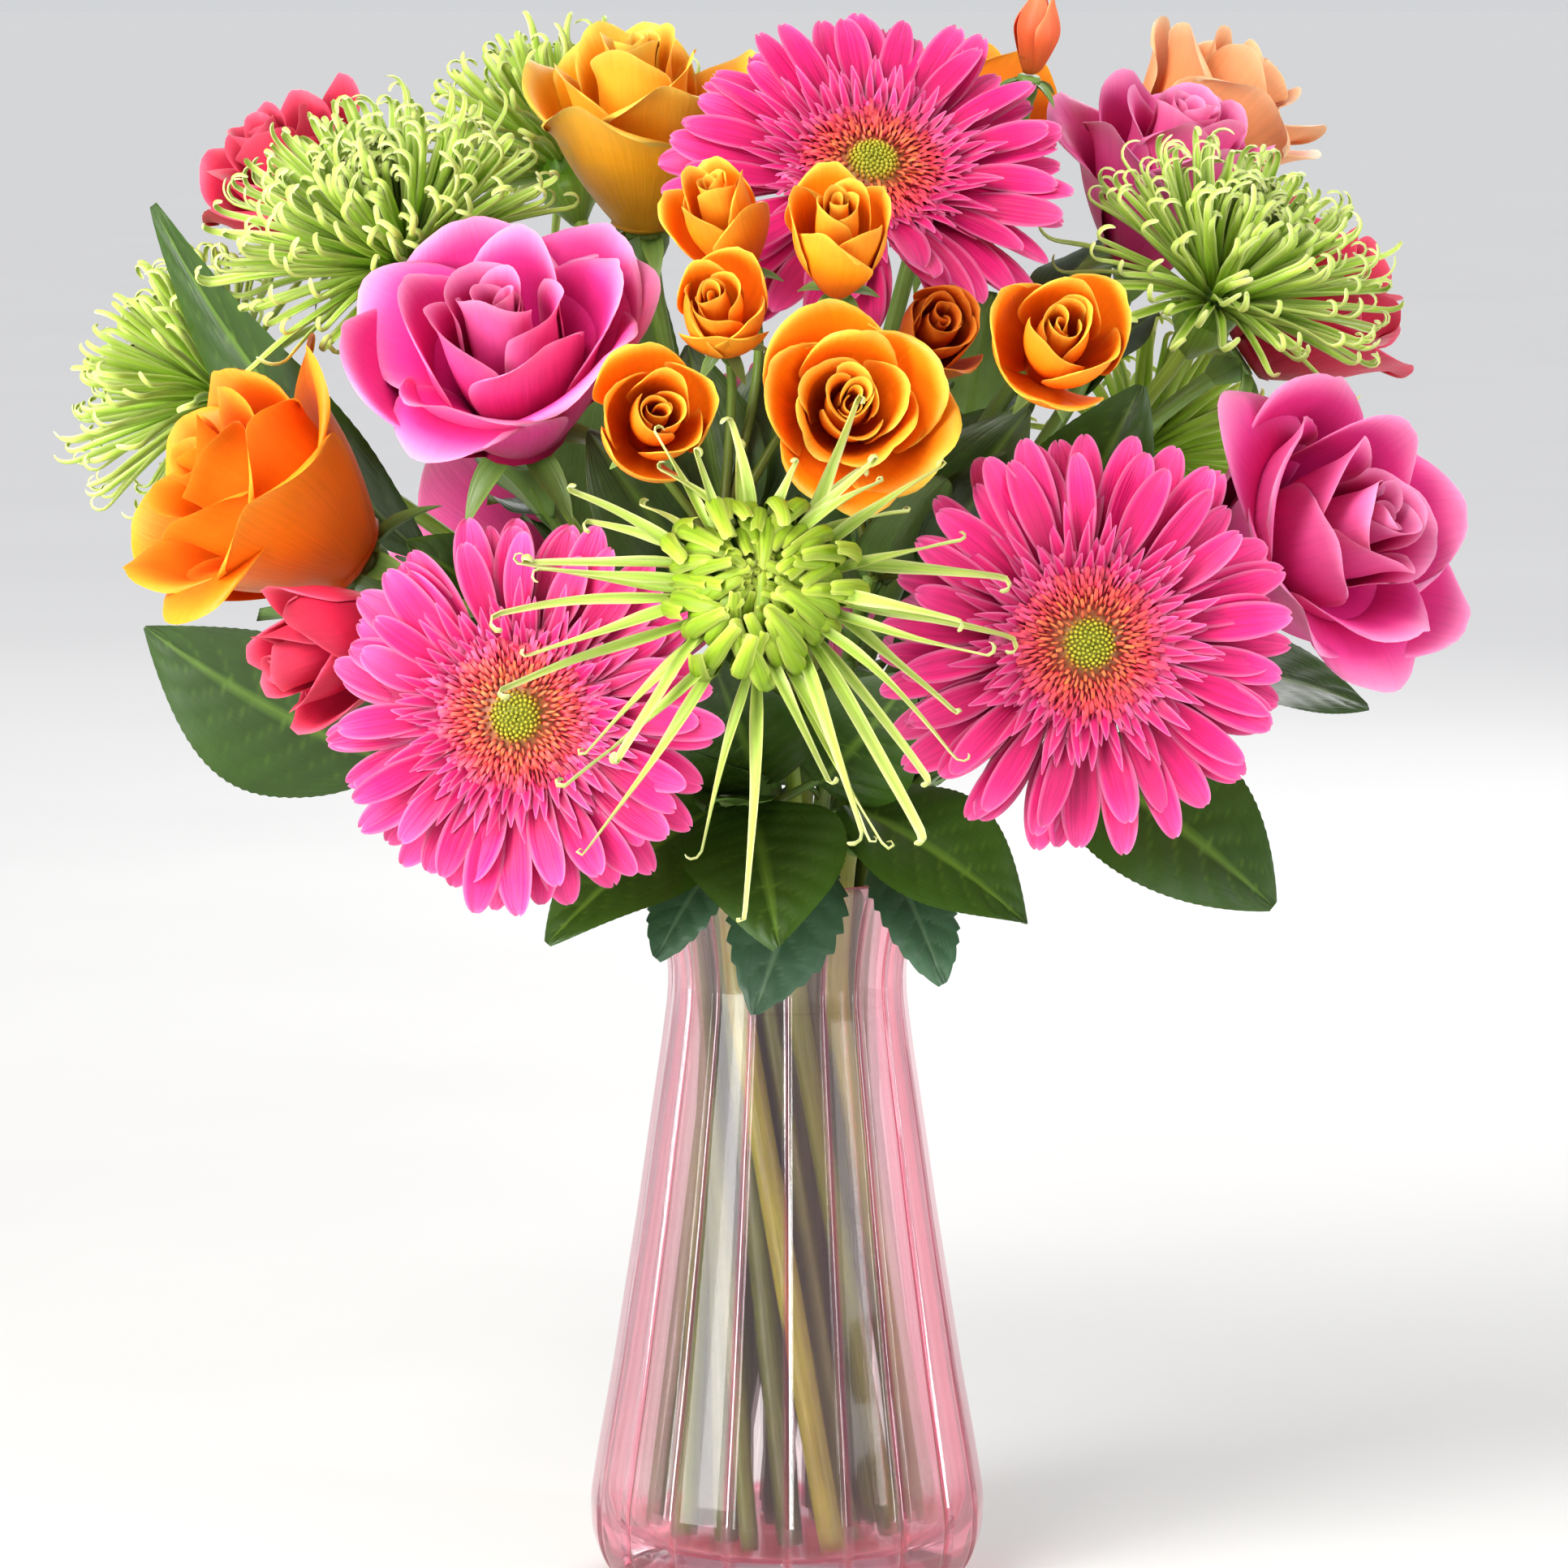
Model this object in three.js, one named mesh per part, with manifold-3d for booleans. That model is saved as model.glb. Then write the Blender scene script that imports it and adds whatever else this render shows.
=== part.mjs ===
// A mixed bouquet standing in a fluted pink glass vase: four pink gerberas, green spider
// chrysanthemums, pink, orange and peach roses, orange spray roses, hot pink roses and
// broad green leaves. Millimetres, +Z up, origin at the middle of the vase's foot.
// The front of the bouquet looks along -Y.

import * as THREE from "three";
import Module from "manifold-3d";
import { mergeVertices } from "three/addons/utils/BufferGeometryUtils.js";

const wasm = await Module();
wasm.setup();

// ---------------------------------------------------------------- driving dimensions

const vase = {
  // Outer silhouette as [radius, height], from the foot to the rim.
  outside: [
    [42, 0], [47.6, 5], [50.3, 17], [48.3, 34], [35.2, 116], [30.6, 148], [30.7, 159], [36, 181],
  ],
  wall: 2.6,
  floor: 12,
  flutes: 16,
  fluteDepth: 1.3,
};
const waterLevel = 148;
const gap = 0.35; // running clearance between neighbouring pieces
const neck = { height: 153, radius: 22.5 };
const rim = { height: 186, radius: 28 };
const foot = { height: 14.6, radius: 37, twist: 0.9 }; // twist of the bundle, radians

// at is the middle of the head; faces is [azimuth from the front towards +X, elevation], degrees.
const gerberas = [
  { name: "gerbera_top", at: [21, -38, 361], faces: [6, 40], radius: 52, rays: 10 },
  { name: "gerbera_left", at: [-64, -106, 232], faces: [-8, 3], radius: 49, rays: 10 },
  { name: "gerbera_right", at: [71, -106, 249], faces: [7, 3], radius: 52, rays: 10 },
  { name: "gerbera_back", at: [4, 96, 262], faces: [180, 10], radius: 49, rays: 9 },
];
const mums = [
  { name: "mum_front", at: [-7, -146, 269], faces: [0, 20], radius: 60, petals: 26, skirt: true },
  { name: "mum_upper_left", at: [-98, -10, 341], faces: [-30, 55], radius: 50, petals: 18 },
  { name: "mum_right", at: [109, -18, 332], faces: [48, 56], radius: 46, petals: 18 },
  { name: "mum_far_left", at: [-150, 40, 302], faces: [-108, 28], radius: 44, petals: 13 },
  { name: "mum_top_back", at: [-59, 60, 363], faces: [-150, 62], radius: 44, petals: 13 },
  { name: "mum_back", at: [96, 78, 282], faces: [138, 18], radius: 44, petals: 13 },
];
const openRose = { petals: 4, layers: 2 }; // layers of open petals round the heart
const smallRose = { petals: 4, layers: 1 };
const pinkRose = { ...openRose, kind: "pink" };
const orangeRose = { ...openRose, kind: "orange" };
const peachRose = { ...openRose, kind: "peach" };
const hotRose = { ...smallRose, kind: "hot" };
const roses = [
  { ...pinkRose, name: "rose_pink_left", at: [-67, -62, 312], faces: [-8, 34], radius: 40, height: 50 },
  { ...pinkRose, name: "rose_pink_right", at: [128, -46, 270], faces: [44, 16], radius: 40, height: 54 },
  { ...pinkRose, name: "rose_pink_top", at: [96, 34, 353], faces: [40, 64], radius: 31, height: 46 },
  { ...pinkRose, name: "rose_pink_back", at: [-74, 88, 250], faces: [-140, 14], radius: 36, height: 46 },
  { ...orangeRose, name: "rose_orange_left", at: [-124, -44, 276], faces: [-66, 33], radius: 36, height: 52 },
  { ...orangeRose, name: "rose_orange_top", at: [-37, 14, 366], faces: [-14, 72], radius: 31, height: 50 },
  { ...orangeRose, name: "rose_orange_back", at: [40, 58, 362], faces: [150, 60], radius: 34, height: 48 },
  { ...peachRose, name: "rose_peach", at: [110, 84, 367], faces: [92, 52], radius: 29, height: 44 },
  { ...hotRose, name: "rose_hot_left", at: [-124, 48, 351], faces: [-62, 52], radius: 30, height: 42 },
  { ...hotRose, name: "rose_hot_right", at: [134, 40, 320], faces: [84, 34], radius: 30, height: 42 },
  { ...hotRose, name: "rose_hot_low", at: [-108, -74, 245], faces: [-60, -16], radius: 20, height: 36 },
];
const sprays = [
  {
    name: "spray_left",
    fork: [-16, -70, 262],
    heads: [
      { ...smallRose, name: "spray_rose_1", at: [-15, -74, 346], faces: [-24, 50], radius: 15, height: 28 },
      { ...smallRose, name: "spray_rose_2", at: [12, -92, 342], faces: [0, 40], radius: 17, height: 32 },
      { ...smallRose, name: "spray_rose_3", at: [-16, -92, 325], faces: [-6, 28], radius: 17, height: 27 },
      { ...smallRose, name: "spray_rose_4", at: [-31, -100, 301], faces: [8, 16], radius: 19, height: 27 },
    ],
  },
  {
    name: "spray_right",
    fork: [20, -70, 262],
    heads: [
      { ...smallRose, name: "spray_rose_5", at: [14, -102, 304], faces: [6, 14], radius: 27, height: 29 },
      { ...smallRose, name: "spray_rose_6", at: [35, -66, 320], faces: [14, 20], radius: 17, height: 26 },
      { ...smallRose, name: "spray_rose_7", at: [63, -98, 319], faces: [6, 24], radius: 21, height: 29 },
      { name: "spray_bud", at: [62, 14, 391], faces: [30, 76], radius: 7.5, height: 22 },
    ],
  },
];
// A leaf runs from base to tip; its upper side looks towards up.
const sprigs = [
  {
    name: "leaves_left",
    tie: [-84, -30, 232],
    leaves: [
      { base: [-98, -42, 214], tip: [-156, -56, 246], up: [-0.2, -0.9, -0.3], width: 44 },
      { base: [-66, -26, 242], tip: [-104, -62, 276], up: [0.2, -0.8, 0.5], width: 36 },
      { base: [-92, 0, 262], tip: [-158, 4, 348], up: [-0.7, -0.5, 0.3], width: 30 },
    ],
  },
  {
    name: "leaves_front",
    tie: [-10, -36, 199],
    leaves: [
      { base: [-9, -45, 203], tip: [-2, -86, 168], up: [0, -0.75, 0.65], width: 44 },
      { base: [-16, -44, 203], tip: [-58, -66, 172], up: [-0.2, -0.7, 0.7], width: 36 },
      { base: [14, -42, 203], tip: [58, -60, 176], up: [0.2, -0.7, 0.7], width: 36 },
    ],
    // toothed rose leaflets that hang over the rim
    leaflets: [
      { base: [6, -38, 190], tip: [-8, -62, 154], up: [-0.1, -0.9, 0.4], width: 30 },
      { base: [24, -34, 190], tip: [38, -52, 160], up: [0.4, -0.8, 0.4], width: 24 },
      { base: [-16, -34, 190], tip: [-32, -50, 166], up: [-0.4, -0.8, 0.4], width: 22 },
    ],
  },
  {
    name: "leaves_right",
    tie: [62, -30, 226],
    leaves: [
      { base: [70, -40, 214], tip: [118, -58, 180], up: [0.2, -0.85, 0.45], width: 44 },
      { base: [60, -52, 250], tip: [84, -78, 308], up: [0, -0.9, 0.4], width: 38 },
      { base: [84, -12, 232], tip: [146, 2, 222], up: [0.5, -0.3, 0.8], width: 40 },
    ],
  },
  {
    name: "leaves_back_left",
    tie: [-52, 40, 216],
    leaves: [
      { base: [-58, 44, 206], tip: [-122, 66, 214], up: [-0.3, 0.5, 0.8], width: 42 },
      { base: [-40, 52, 204], tip: [-48, 112, 186], up: [0, 0.5, 0.85], width: 42 },
      { base: [-64, 20, 226], tip: [-134, 16, 244], up: [-0.6, 0.1, 0.8], width: 40 },
      { base: [-50, 48, 246], tip: [-40, 92, 322], up: [0, 0.9, 0.4], width: 38 },
    ],
  },
  {
    name: "leaves_back_right",
    tie: [28, 46, 210],
    leaves: [
      { base: [52, 42, 205], tip: [112, 62, 216], up: [0.3, 0.5, 0.8], width: 42 },
      { base: [34, 52, 202], tip: [40, 114, 188], up: [0, 0.5, 0.85], width: 42 },
      { base: [40, 56, 244], tip: [52, 98, 318], up: [0, 0.9, 0.4], width: 36 },
    ],
  },
];
const stemRadius = { gerbera: 2.3, mum: 2.1, rose: 2.4, spray: 2.2, branch: 1.3, sprig: 1.7 };
const stemSides = 5;
const bladeThickness = 0.8;
const rootRadius = 19; // of a gerbera's ring of petals

// ---------------------------------------------------------------- small helpers

const V = (x, y, z) => new THREE.Vector3(x, y, z);
const degrees = THREE.MathUtils.degToRad;
const goldenAngle = Math.PI * (3 - Math.sqrt(5));
const smooth = THREE.MathUtils.smoothstep;
const mix = THREE.MathUtils.lerp;

// A repeatable draw between -1 and 1.
let seed = 7;
const draw = () => {
  seed = (seed * 16807) % 2147483647;
  return (2 * seed) / 2147483647 - 1;
};

function facing([azimuth, elevation]) {
  const a = degrees(azimuth);
  const e = degrees(elevation);
  return V(Math.sin(a) * Math.cos(e), -Math.cos(a) * Math.cos(e), Math.sin(e));
}

const gerberaDepth = 6; // how far a head's origin lies behind its middle
const mumDepth = (m) => m.radius * 0.32;
const roseDepth = (r) => r.height * 0.5;

// A head's frame: local Z along its facing, origin where the head sits on its stem.
function headFrame({ at, faces }, depth) {
  const z = facing(faces);
  const x = V(0, 0, 1).cross(z).normalize();
  const y = z.clone().cross(x);
  const origin = V(...at).addScaledVector(z, -depth);
  return new THREE.Matrix4().makeBasis(x, y, z).setPosition(origin);
}

function solid(positions, triangles) {
  const mesh = new wasm.Mesh({
    numProp: 3,
    vertProperties: Float32Array.from(positions),
    triVerts: Uint32Array.from(triangles),
  });
  return new wasm.Manifold(mesh);
}

function solidOfGeometry(geometry) {
  geometry.deleteAttribute("normal");
  geometry.deleteAttribute("uv");
  const merged = mergeVertices(geometry, 1e-4);
  return solid(merged.attributes.position.array, merged.index.array);
}

// A lathe about local Z from [radius, height] points that start and end on the axis, going up outside.
function lathe(points, sides, frame) {
  const profile = points.map(([r, h]) => new THREE.Vector2(Math.max(r, 0), h));
  const geometry = new THREE.LatheGeometry(profile, sides);
  geometry.rotateX(Math.PI / 2);
  if (frame) geometry.applyMatrix4(frame);
  return solidOfGeometry(geometry);
}

// A thin closed blade over surface(u, v), u from -1 to 1 across and v from 0 to 1 along.
function blade(surface, across, along, thickness = bladeThickness) {
  const step = 0.02;
  const top = [];
  const bottom = [];
  for (let j = 0; j <= along; j++) {
    for (let i = 0; i <= across; i++) {
      const u = -1 + (2 * i) / across;
      const v = j / along;
      const p = surface(u, v);
      const du = surface(u + step, v).sub(surface(u - step, v));
      const dv = surface(u, Math.min(v + step, 1)).sub(surface(u, Math.max(v - step, 0)));
      const n = du.cross(dv).setLength(thickness / 2);
      top.push(p.clone().add(n));
      bottom.push(p.clone().sub(n));
    }
  }
  const points = [...top, ...bottom];
  const shift = top.length;
  const at = (i, j) => j * (across + 1) + i;
  const triangles = [];
  const quad = (a, b, c, d) => triangles.push(a, b, c, a, c, d);
  for (let j = 0; j < along; j++) {
    for (let i = 0; i < across; i++) {
      const [a, b, c, d] = [at(i, j), at(i + 1, j), at(i + 1, j + 1), at(i, j + 1)];
      quad(a, b, c, d);
      triangles.push(shift + a, shift + c, shift + b, shift + a, shift + d, shift + c);
    }
    quad(at(0, j), at(0, j + 1), at(0, j + 1) + shift, at(0, j) + shift);
    quad(at(across, j + 1), at(across, j), at(across, j) + shift, at(across, j + 1) + shift);
  }
  for (let i = 0; i < across; i++) {
    quad(at(i + 1, 0), at(i, 0), at(i, 0) + shift, at(i + 1, 0) + shift);
    quad(at(i, along), at(i + 1, along), at(i + 1, along) + shift, at(i, along) + shift);
  }
  return { points, triangles };
}

// Rings of points round a path, each square to the path there.
function ringsAlong(path, radii, sides) {
  let side = V(1, 0.2, 0.1);
  return path.map((p, k) => {
    const before = path[Math.max(k - 1, 0)];
    const after = path[Math.min(k + 1, path.length - 1)];
    const along = after.clone().sub(before).normalize();
    side = side.clone().addScaledVector(along, -side.dot(along)).normalize();
    const other = along.clone().cross(side);
    return Array.from({ length: sides }, (_, i) => {
      const a = (2 * Math.PI * i) / sides;
      const r = radii[k];
      return p.clone().addScaledVector(side, r * Math.cos(a)).addScaledVector(other, r * Math.sin(a));
    });
  });
}

// A closed skin over rings of points, from its foot up; from one ring to the next the count may
// double or halve. Between two rings, petals may stand as thin plates on the edges instead of a wall:
// each petal is a list of rows, and a row has its outer and its inner points.
function skin(rings, petalsBelow = new Map()) {
  const points = [];
  const triangles = [];
  const place = (list) => list.map((p) => points.push(p) - 1);
  const cap = (ring, flip) => {
    for (let i = 1; i < ring.length - 1; i++) {
      triangles.push(ring[0], ring[i + (flip ? 1 : 0)], ring[i + (flip ? 0 : 1)]);
    }
  };
  const quad = (a, b, c, d) => triangles.push(a, b, c, a, c, d);
  const strip = (low, high, flip = false) => {
    const face = (...t) => triangles.push(...(flip ? t.reverse() : t));
    const [n, m] = [low.length - 1, high.length - 1];
    for (let i = 0; i < Math.min(n, m); i++) {
      if (n === m) face(low[i], low[i + 1], high[i + 1]), face(low[i], high[i + 1], high[i]);
      else if (m === 2 * n) {
        const [b, c, d] = [high[2 * i], high[2 * i + 1], high[2 * i + 2]];
        face(low[i], low[i + 1], c), face(low[i], c, b), face(low[i + 1], d, c);
      } else {
        const [a, b, c] = [low[2 * i], low[2 * i + 1], low[2 * i + 2]];
        face(a, b, high[i]), face(b, high[i + 1], high[i]), face(b, c, high[i + 1]);
      }
    }
  };
  const plate = (rows, outerRoot, innerRoot) => {
    const outer = [outerRoot, ...rows.map((row) => place(row.outer))];
    const inner = [innerRoot, ...rows.map((row) => place(row.inner))];
    for (let j = 0; j < rows.length; j++) {
      strip(outer[j], outer[j + 1]);
      strip(inner[j], inner[j + 1], true);
      quad(outer[j][0], outer[j + 1][0], inner[j + 1][0], inner[j][0]);
      quad(outer[j + 1].at(-1), outer[j].at(-1), inner[j].at(-1), inner[j + 1].at(-1));
    }
    const [rim, back] = [outer.at(-1), inner.at(-1)];
    for (let i = 0; i + 1 < rim.length; i++) quad(rim[i], rim[i + 1], back[i + 1], back[i]);
  };
  let low = null;
  rings.forEach((ring, k) => {
    const high = place(ring);
    const closed = (r) => [...r, r[0]];
    if (!low) cap(high, true);
    else if (petalsBelow.has(k)) {
      petalsBelow.get(k).forEach((rows, i) => {
        const next = (i + 1) % high.length;
        plate(rows, [low[i], low[next]], [high[i], high[next]]);
      });
    } else strip(closed(low), closed(high));
    low = high;
  });
  cap(low, false);
  return { points, triangles };
}

const tube = (path, radii, sides) => skin(ringsAlong(path, radii, sides));

// A stem whose last rings are the cup under a head: each is a list of [radius, height] in the head's frame.
function cuppedStem(path, radius, sides, frame, cupRings) {
  const rings = ringsAlong(path, path.map(() => radius), sides);
  const first = rings.at(-1)[0].clone().applyMatrix4(frame.clone().invert());
  const turn = Math.atan2(first.y, first.x);
  for (const cup of cupRings) {
    rings.push(cup.map(([r, z], i) => {
      const a = turn + (2 * Math.PI * i) / cup.length;
      return V(r * Math.cos(a), r * Math.sin(a), z).applyMatrix4(frame);
    }));
  }
  return solidOf(skin(rings));
}

function solidOf({ points, triangles }) {
  return solid(points.flatMap((p) => [p.x, p.y, p.z]), triangles);
}

function union(parts) {
  return wasm.Manifold.union(parts);
}

// The largest body of a solid; scraps that touch nothing are dropped.
function mainBody(whole) {
  const bodies = whole.decompose();
  return bodies.reduce((a, b) => (a.volume() > b.volume() ? a : b));
}

// ---------------------------------------------------------------- keeping pieces clear

const occupied = []; // { owner, solid, box }: what later blades have to stay clear of

function boxOf(s) {
  const { min, max } = s.boundingBox();
  return new THREE.Box3(V(...min), V(...max));
}

function occupy(owner, s) {
  occupied.push({ owner, solid: s, box: boxOf(s) });
}

function isClear(owner, s) {
  const box = boxOf(s);
  return occupied.every(
    (other) =>
      other.owner.startsWith(owner) ||
      !other.box.intersectsBox(box) ||
      other.solid.intersect(s).volume() < 1e-6,
  );
}

// How a blade is bent about its root, and shortened where that isn't enough, until its fat copy
// clears every other piece. Returns null where there is no room for it.
function bentClear(owner, fat, root, hinge, ways) {
  for (const shorter of [1, 0.88, 0.76, 0.62, 0.5]) {
    for (let angle = 0; angle <= 48; angle += 8) {
      for (const way of angle === 0 ? [1] : ways) {
        const turn = new THREE.Matrix4()
          .makeTranslation(root)
          .multiply(new THREE.Matrix4().makeRotationAxis(hinge, way * degrees(angle)))
          .scale(V(shorter, shorter, shorter))
          .multiply(new THREE.Matrix4().makeTranslation(root.clone().negate()));
        const solid = turned(fat, turn);
        if (isClear(owner, solid)) return { turn, solid };
      }
    }
  }
  return null;
}

const turned = ({ points, triangles }, turn) =>
  solidOf({ points: points.map((p) => p.clone().applyMatrix4(turn)), triangles });

// The rows of a petal that grows as a plate: bent clear like any other blade. Its fat copy is kept in wide.
function petalRows(owner, surface, spots, ways, wide) {
  const fat = blade(surface, 2, 2, bladeThickness + 2 * gap);
  const hinge = surface(-1, 0.1).sub(surface(1, 0.1)).normalize();
  const bent = bentClear(owner, fat, surface(0, 0), hinge, ways);
  if (!bent) throw new Error(owner + ": a petal found no room");
  wide.push(bent.solid);
  const step = 0.02;
  return spots.map((row) => {
    const normals = row.map(([u, v]) => {
      const du = surface(u + step, v).sub(surface(u - step, v));
      return du.cross(surface(u, v).sub(surface(u, v - step))).setLength(bladeThickness / 2);
    });
    const at = (side) =>
      row.map(([u, v], i) => surface(u, v).addScaledVector(normals[i], side).applyMatrix4(bent.turn));
    return { outer: at(1), inner: at(-1) };
  });
}

// A ring of points in a head's frame; every second point may lie dip lower and a little further in.
function headRing(frame, count, radius, height, phase = 0, dip = 0, odd = 1) {
  return Array.from({ length: count }, (_, i) => {
    const low = i % 2 === odd ? dip : 0;
    const a = (2 * Math.PI * (i + phase)) / count;
    const r = radius * (1 - 0.6 * low);
    return V(r * Math.cos(a), r * Math.sin(a), height - 2 * radius * low).applyMatrix4(frame);
  });
}

// Adds the blades that find room to the head's own solid.
function dress(owner, core, blades) {
  const thin = [core];
  const wide = [];
  for (const { surface, across, along, ways } of blades) {
    const shape = blade(surface, across, along);
    const fat = blade((u, v) => surface(u * 1.05, v), across, along, bladeThickness + 2 * gap);
    const hinge = surface(-1, 0.1).sub(surface(1, 0.1)).normalize();
    const bent = bentClear(owner, fat, surface(0, 0), hinge, ways);
    if (bent) {
      thin.push(turned(shape, bent.turn));
      wide.push(bent.solid);
    } else console.warn(owner + ": a blade found no room");
  }
  if (wide.length) occupy(owner, union(wide));
  return mainBody(union(thin));
}

// ---------------------------------------------------------------- the vase and its water

function profileRadius(z) {
  const { outside } = vase;
  const k = Math.max(1, outside.findIndex(([, h]) => h >= z));
  const [[r0, h0], [r1, h1]] = [outside[k - 1], outside[k]];
  return mix(r0, r1, (z - h0) / (h1 - h0));
}

const insideRadius = (z) => profileRadius(z) - vase.fluteDepth - vase.wall;

function makeVase() {
  const { outside, floor, flutes, fluteDepth } = vase;
  const top = outside[outside.length - 1];
  const inner = [top[1], 154, 75, 24].map((h) => [insideRadius(h), h]);
  inner.push([insideRadius(24) - 5, floor]);
  const profile = [[0, 0], ...outside, ...inner, [0, floor]];
  const shape = profile.map(([r, h]) => new THREE.Vector2(r, h));
  const geometry = new THREE.LatheGeometry(shape, 2 * flutes);
  geometry.rotateX(Math.PI / 2);
  const position = geometry.attributes.position;
  const p = V(0, 0, 0);
  for (let i = 0; i < position.count; i++) {
    p.fromBufferAttribute(position, i);
    const r = Math.hypot(p.x, p.y);
    const outer = r > profileRadius(THREE.MathUtils.clamp(p.z, 0.01, top[1])) - 0.5 && r > 1;
    const valley = Math.round(Math.atan2(p.y, p.x) / (Math.PI / flutes)) % 2 !== 0;
    if (outer && valley && p.z > 1) {
      const squeeze = (r - fluteDepth) / r;
      position.setXYZ(i, p.x * squeeze, p.y * squeeze, p.z);
    }
  }
  return solidOfGeometry(geometry);
}

function makeWater(holes) {
  const edge = (h) => insideRadius(h) - 1.1;
  const levels = [24, 75, waterLevel];
  const low = vase.floor + gap;
  const profile = [[0, low], [insideRadius(24) - 6.4, low], ...levels.map((h) => [edge(h), h])];
  return mainBody(lathe([...profile, [0, waterLevel]], 20).subtract(union(holes)));
}

// ---------------------------------------------------------------- stems

const everyHead = [
  ...gerberas.map((g) => ({ ...g, depth: gerberaDepth })),
  ...mums.map((m) => ({ ...m, depth: mumDepth(m) - 10 })), // ends inside the dome
  ...roses.map((r) => ({ ...r, depth: roseDepth(r) })),
];
const stems = [
  ...everyHead.map((h) => ({ name: h.name, end: headFrame(h, h.depth + 7), faces: facing(h.faces) })),
  ...sprays.map((s) => ({ name: s.name, fork: V(...s.fork) })),
  ...sprigs.map((s) => ({ name: s.name, fork: V(...s.tie) })),
];

// Every stem passes the neck on its own side, spread apart as a packed bundle is.
function bundle() {
  const middle = V(0, 0, neck.height + 20);
  const spots = stems.map(({ end, fork }) => {
    const top = fork ?? V(0, 0, 0).setFromMatrixPosition(end);
    const out = top.clone().sub(middle);
    const lean = Math.atan2(Math.hypot(out.x, out.y), out.z);
    const reach = Math.min(1, lean / degrees(78));
    return new THREE.Vector2(out.x, out.y).setLength(neck.radius * reach);
  });
  const spacing = 7.4;
  for (let pass = 0; pass < 300; pass++) {
    for (let i = 0; i < spots.length; i++) {
      for (let j = 0; j < i; j++) {
        const between = spots[i].clone().sub(spots[j]);
        const short = spacing - between.length();
        if (short > 0) {
          between.setLength(short / 2);
          spots[i].add(between);
          spots[j].sub(between);
        }
      }
      if (spots[i].length() > neck.radius) spots[i].setLength(neck.radius);
    }
  }
  return spots;
}

const spots = bundle();

function stemPath(k) {
  const spot = spots[k];
  const turned = spot.clone().rotateAround(new THREE.Vector2(), foot.twist);
  const low = turned.multiplyScalar(foot.radius / neck.radius);
  const high = spot.clone().multiplyScalar(rim.radius / neck.radius);
  const { end, fork, faces } = stems[k];
  const top = fork ?? V(0, 0, 0).setFromMatrixPosition(end);
  const start = V(low.x, low.y, foot.height);
  const atNeck = V(spot.x, spot.y, neck.height);
  const atRim = V(high.x, high.y, rim.height);
  const back = faces ? top.clone().addScaledVector(faces, -0.3 * top.distanceTo(atRim)) : top;
  const lift = atRim.clone().add(atRim.clone().sub(atNeck).setLength(0.3 * top.distanceTo(atRim)));
  const curve = new THREE.CubicBezierCurve3(atRim, lift, back, top);
  return [start, atNeck, ...curve.getPoints(3)];
}

// ---------------------------------------------------------------- gerbera

function rayPetal(frame, turn, start, reach, width, rise, droop, lift) {
  const shape = [0.24, 0.7, 1, 0.8, 0.2];
  return (u, v) => {
    const k = Math.min(Math.floor(v * 4), 3);
    const half = (width / 2) * mix(shape[k], shape[k + 1], v * 4 - k);
    const along = start + reach * v;
    const height = lift + reach * (rise * v - droop * v * v) + 0.06 * width * u * u;
    const p = V(along * Math.cos(turn), along * Math.sin(turn), height);
    p.add(V(-Math.sin(turn), Math.cos(turn), 0).multiplyScalar(half * u));
    return p.applyMatrix4(frame);
  };
}

// The layers of a gerbera's petals from the back, the short inner florets last, all in one skin.
function makeGerbera(g) {
  const frame = headFrame(g, gerberaDepth);
  const width = (Math.PI * g.radius * 0.84) / g.rays;
  const layers = [
    { reach: g.radius - 18.4, width, rise: 0.22, lift: -4, phase: 0.5 },
    { reach: g.radius - 20, width, rise: 0.26, lift: -2.2, phase: 0 },
    { reach: 13, width: 5.4, rise: 0.6, lift: -0.4, phase: 0.3 },
  ];
  const rings = [];
  const petals = new Map();
  const wide = [];
  for (const { reach, width, rise, lift, phase } of layers) {
    for (const half of [-0.5, 0.5]) {
      rings.push(headRing(frame, g.rays, rootRadius, lift + half * bladeThickness, phase));
    }
    petals.set(rings.length - 1, Array.from({ length: g.rays }, (_, k) => {
      const turn = (2 * Math.PI * (k + phase + 0.5)) / g.rays;
      const long = reach * (1 + 0.05 * draw());
      const surface = rayPetal(frame, turn, rootRadius, long, width, rise, 0.2, lift);
      const spots = [[[-1, 0.55], [1, 0.55]], [[-0.7, 0.92], [0.7, 0.92]]];
      return petalRows(g.name, surface, spots, [1], wide);
    }));
  }
  occupy(g.name, union(wide));
  return solidOf(skin(rings, petals));
}

function gerberaBase(g) {
  const profile = [[0, -4.6], [rootRadius, -4.6], [rootRadius, 0], [0, 0]];
  return lathe(profile, 12, headFrame(g, gerberaDepth));
}

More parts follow.
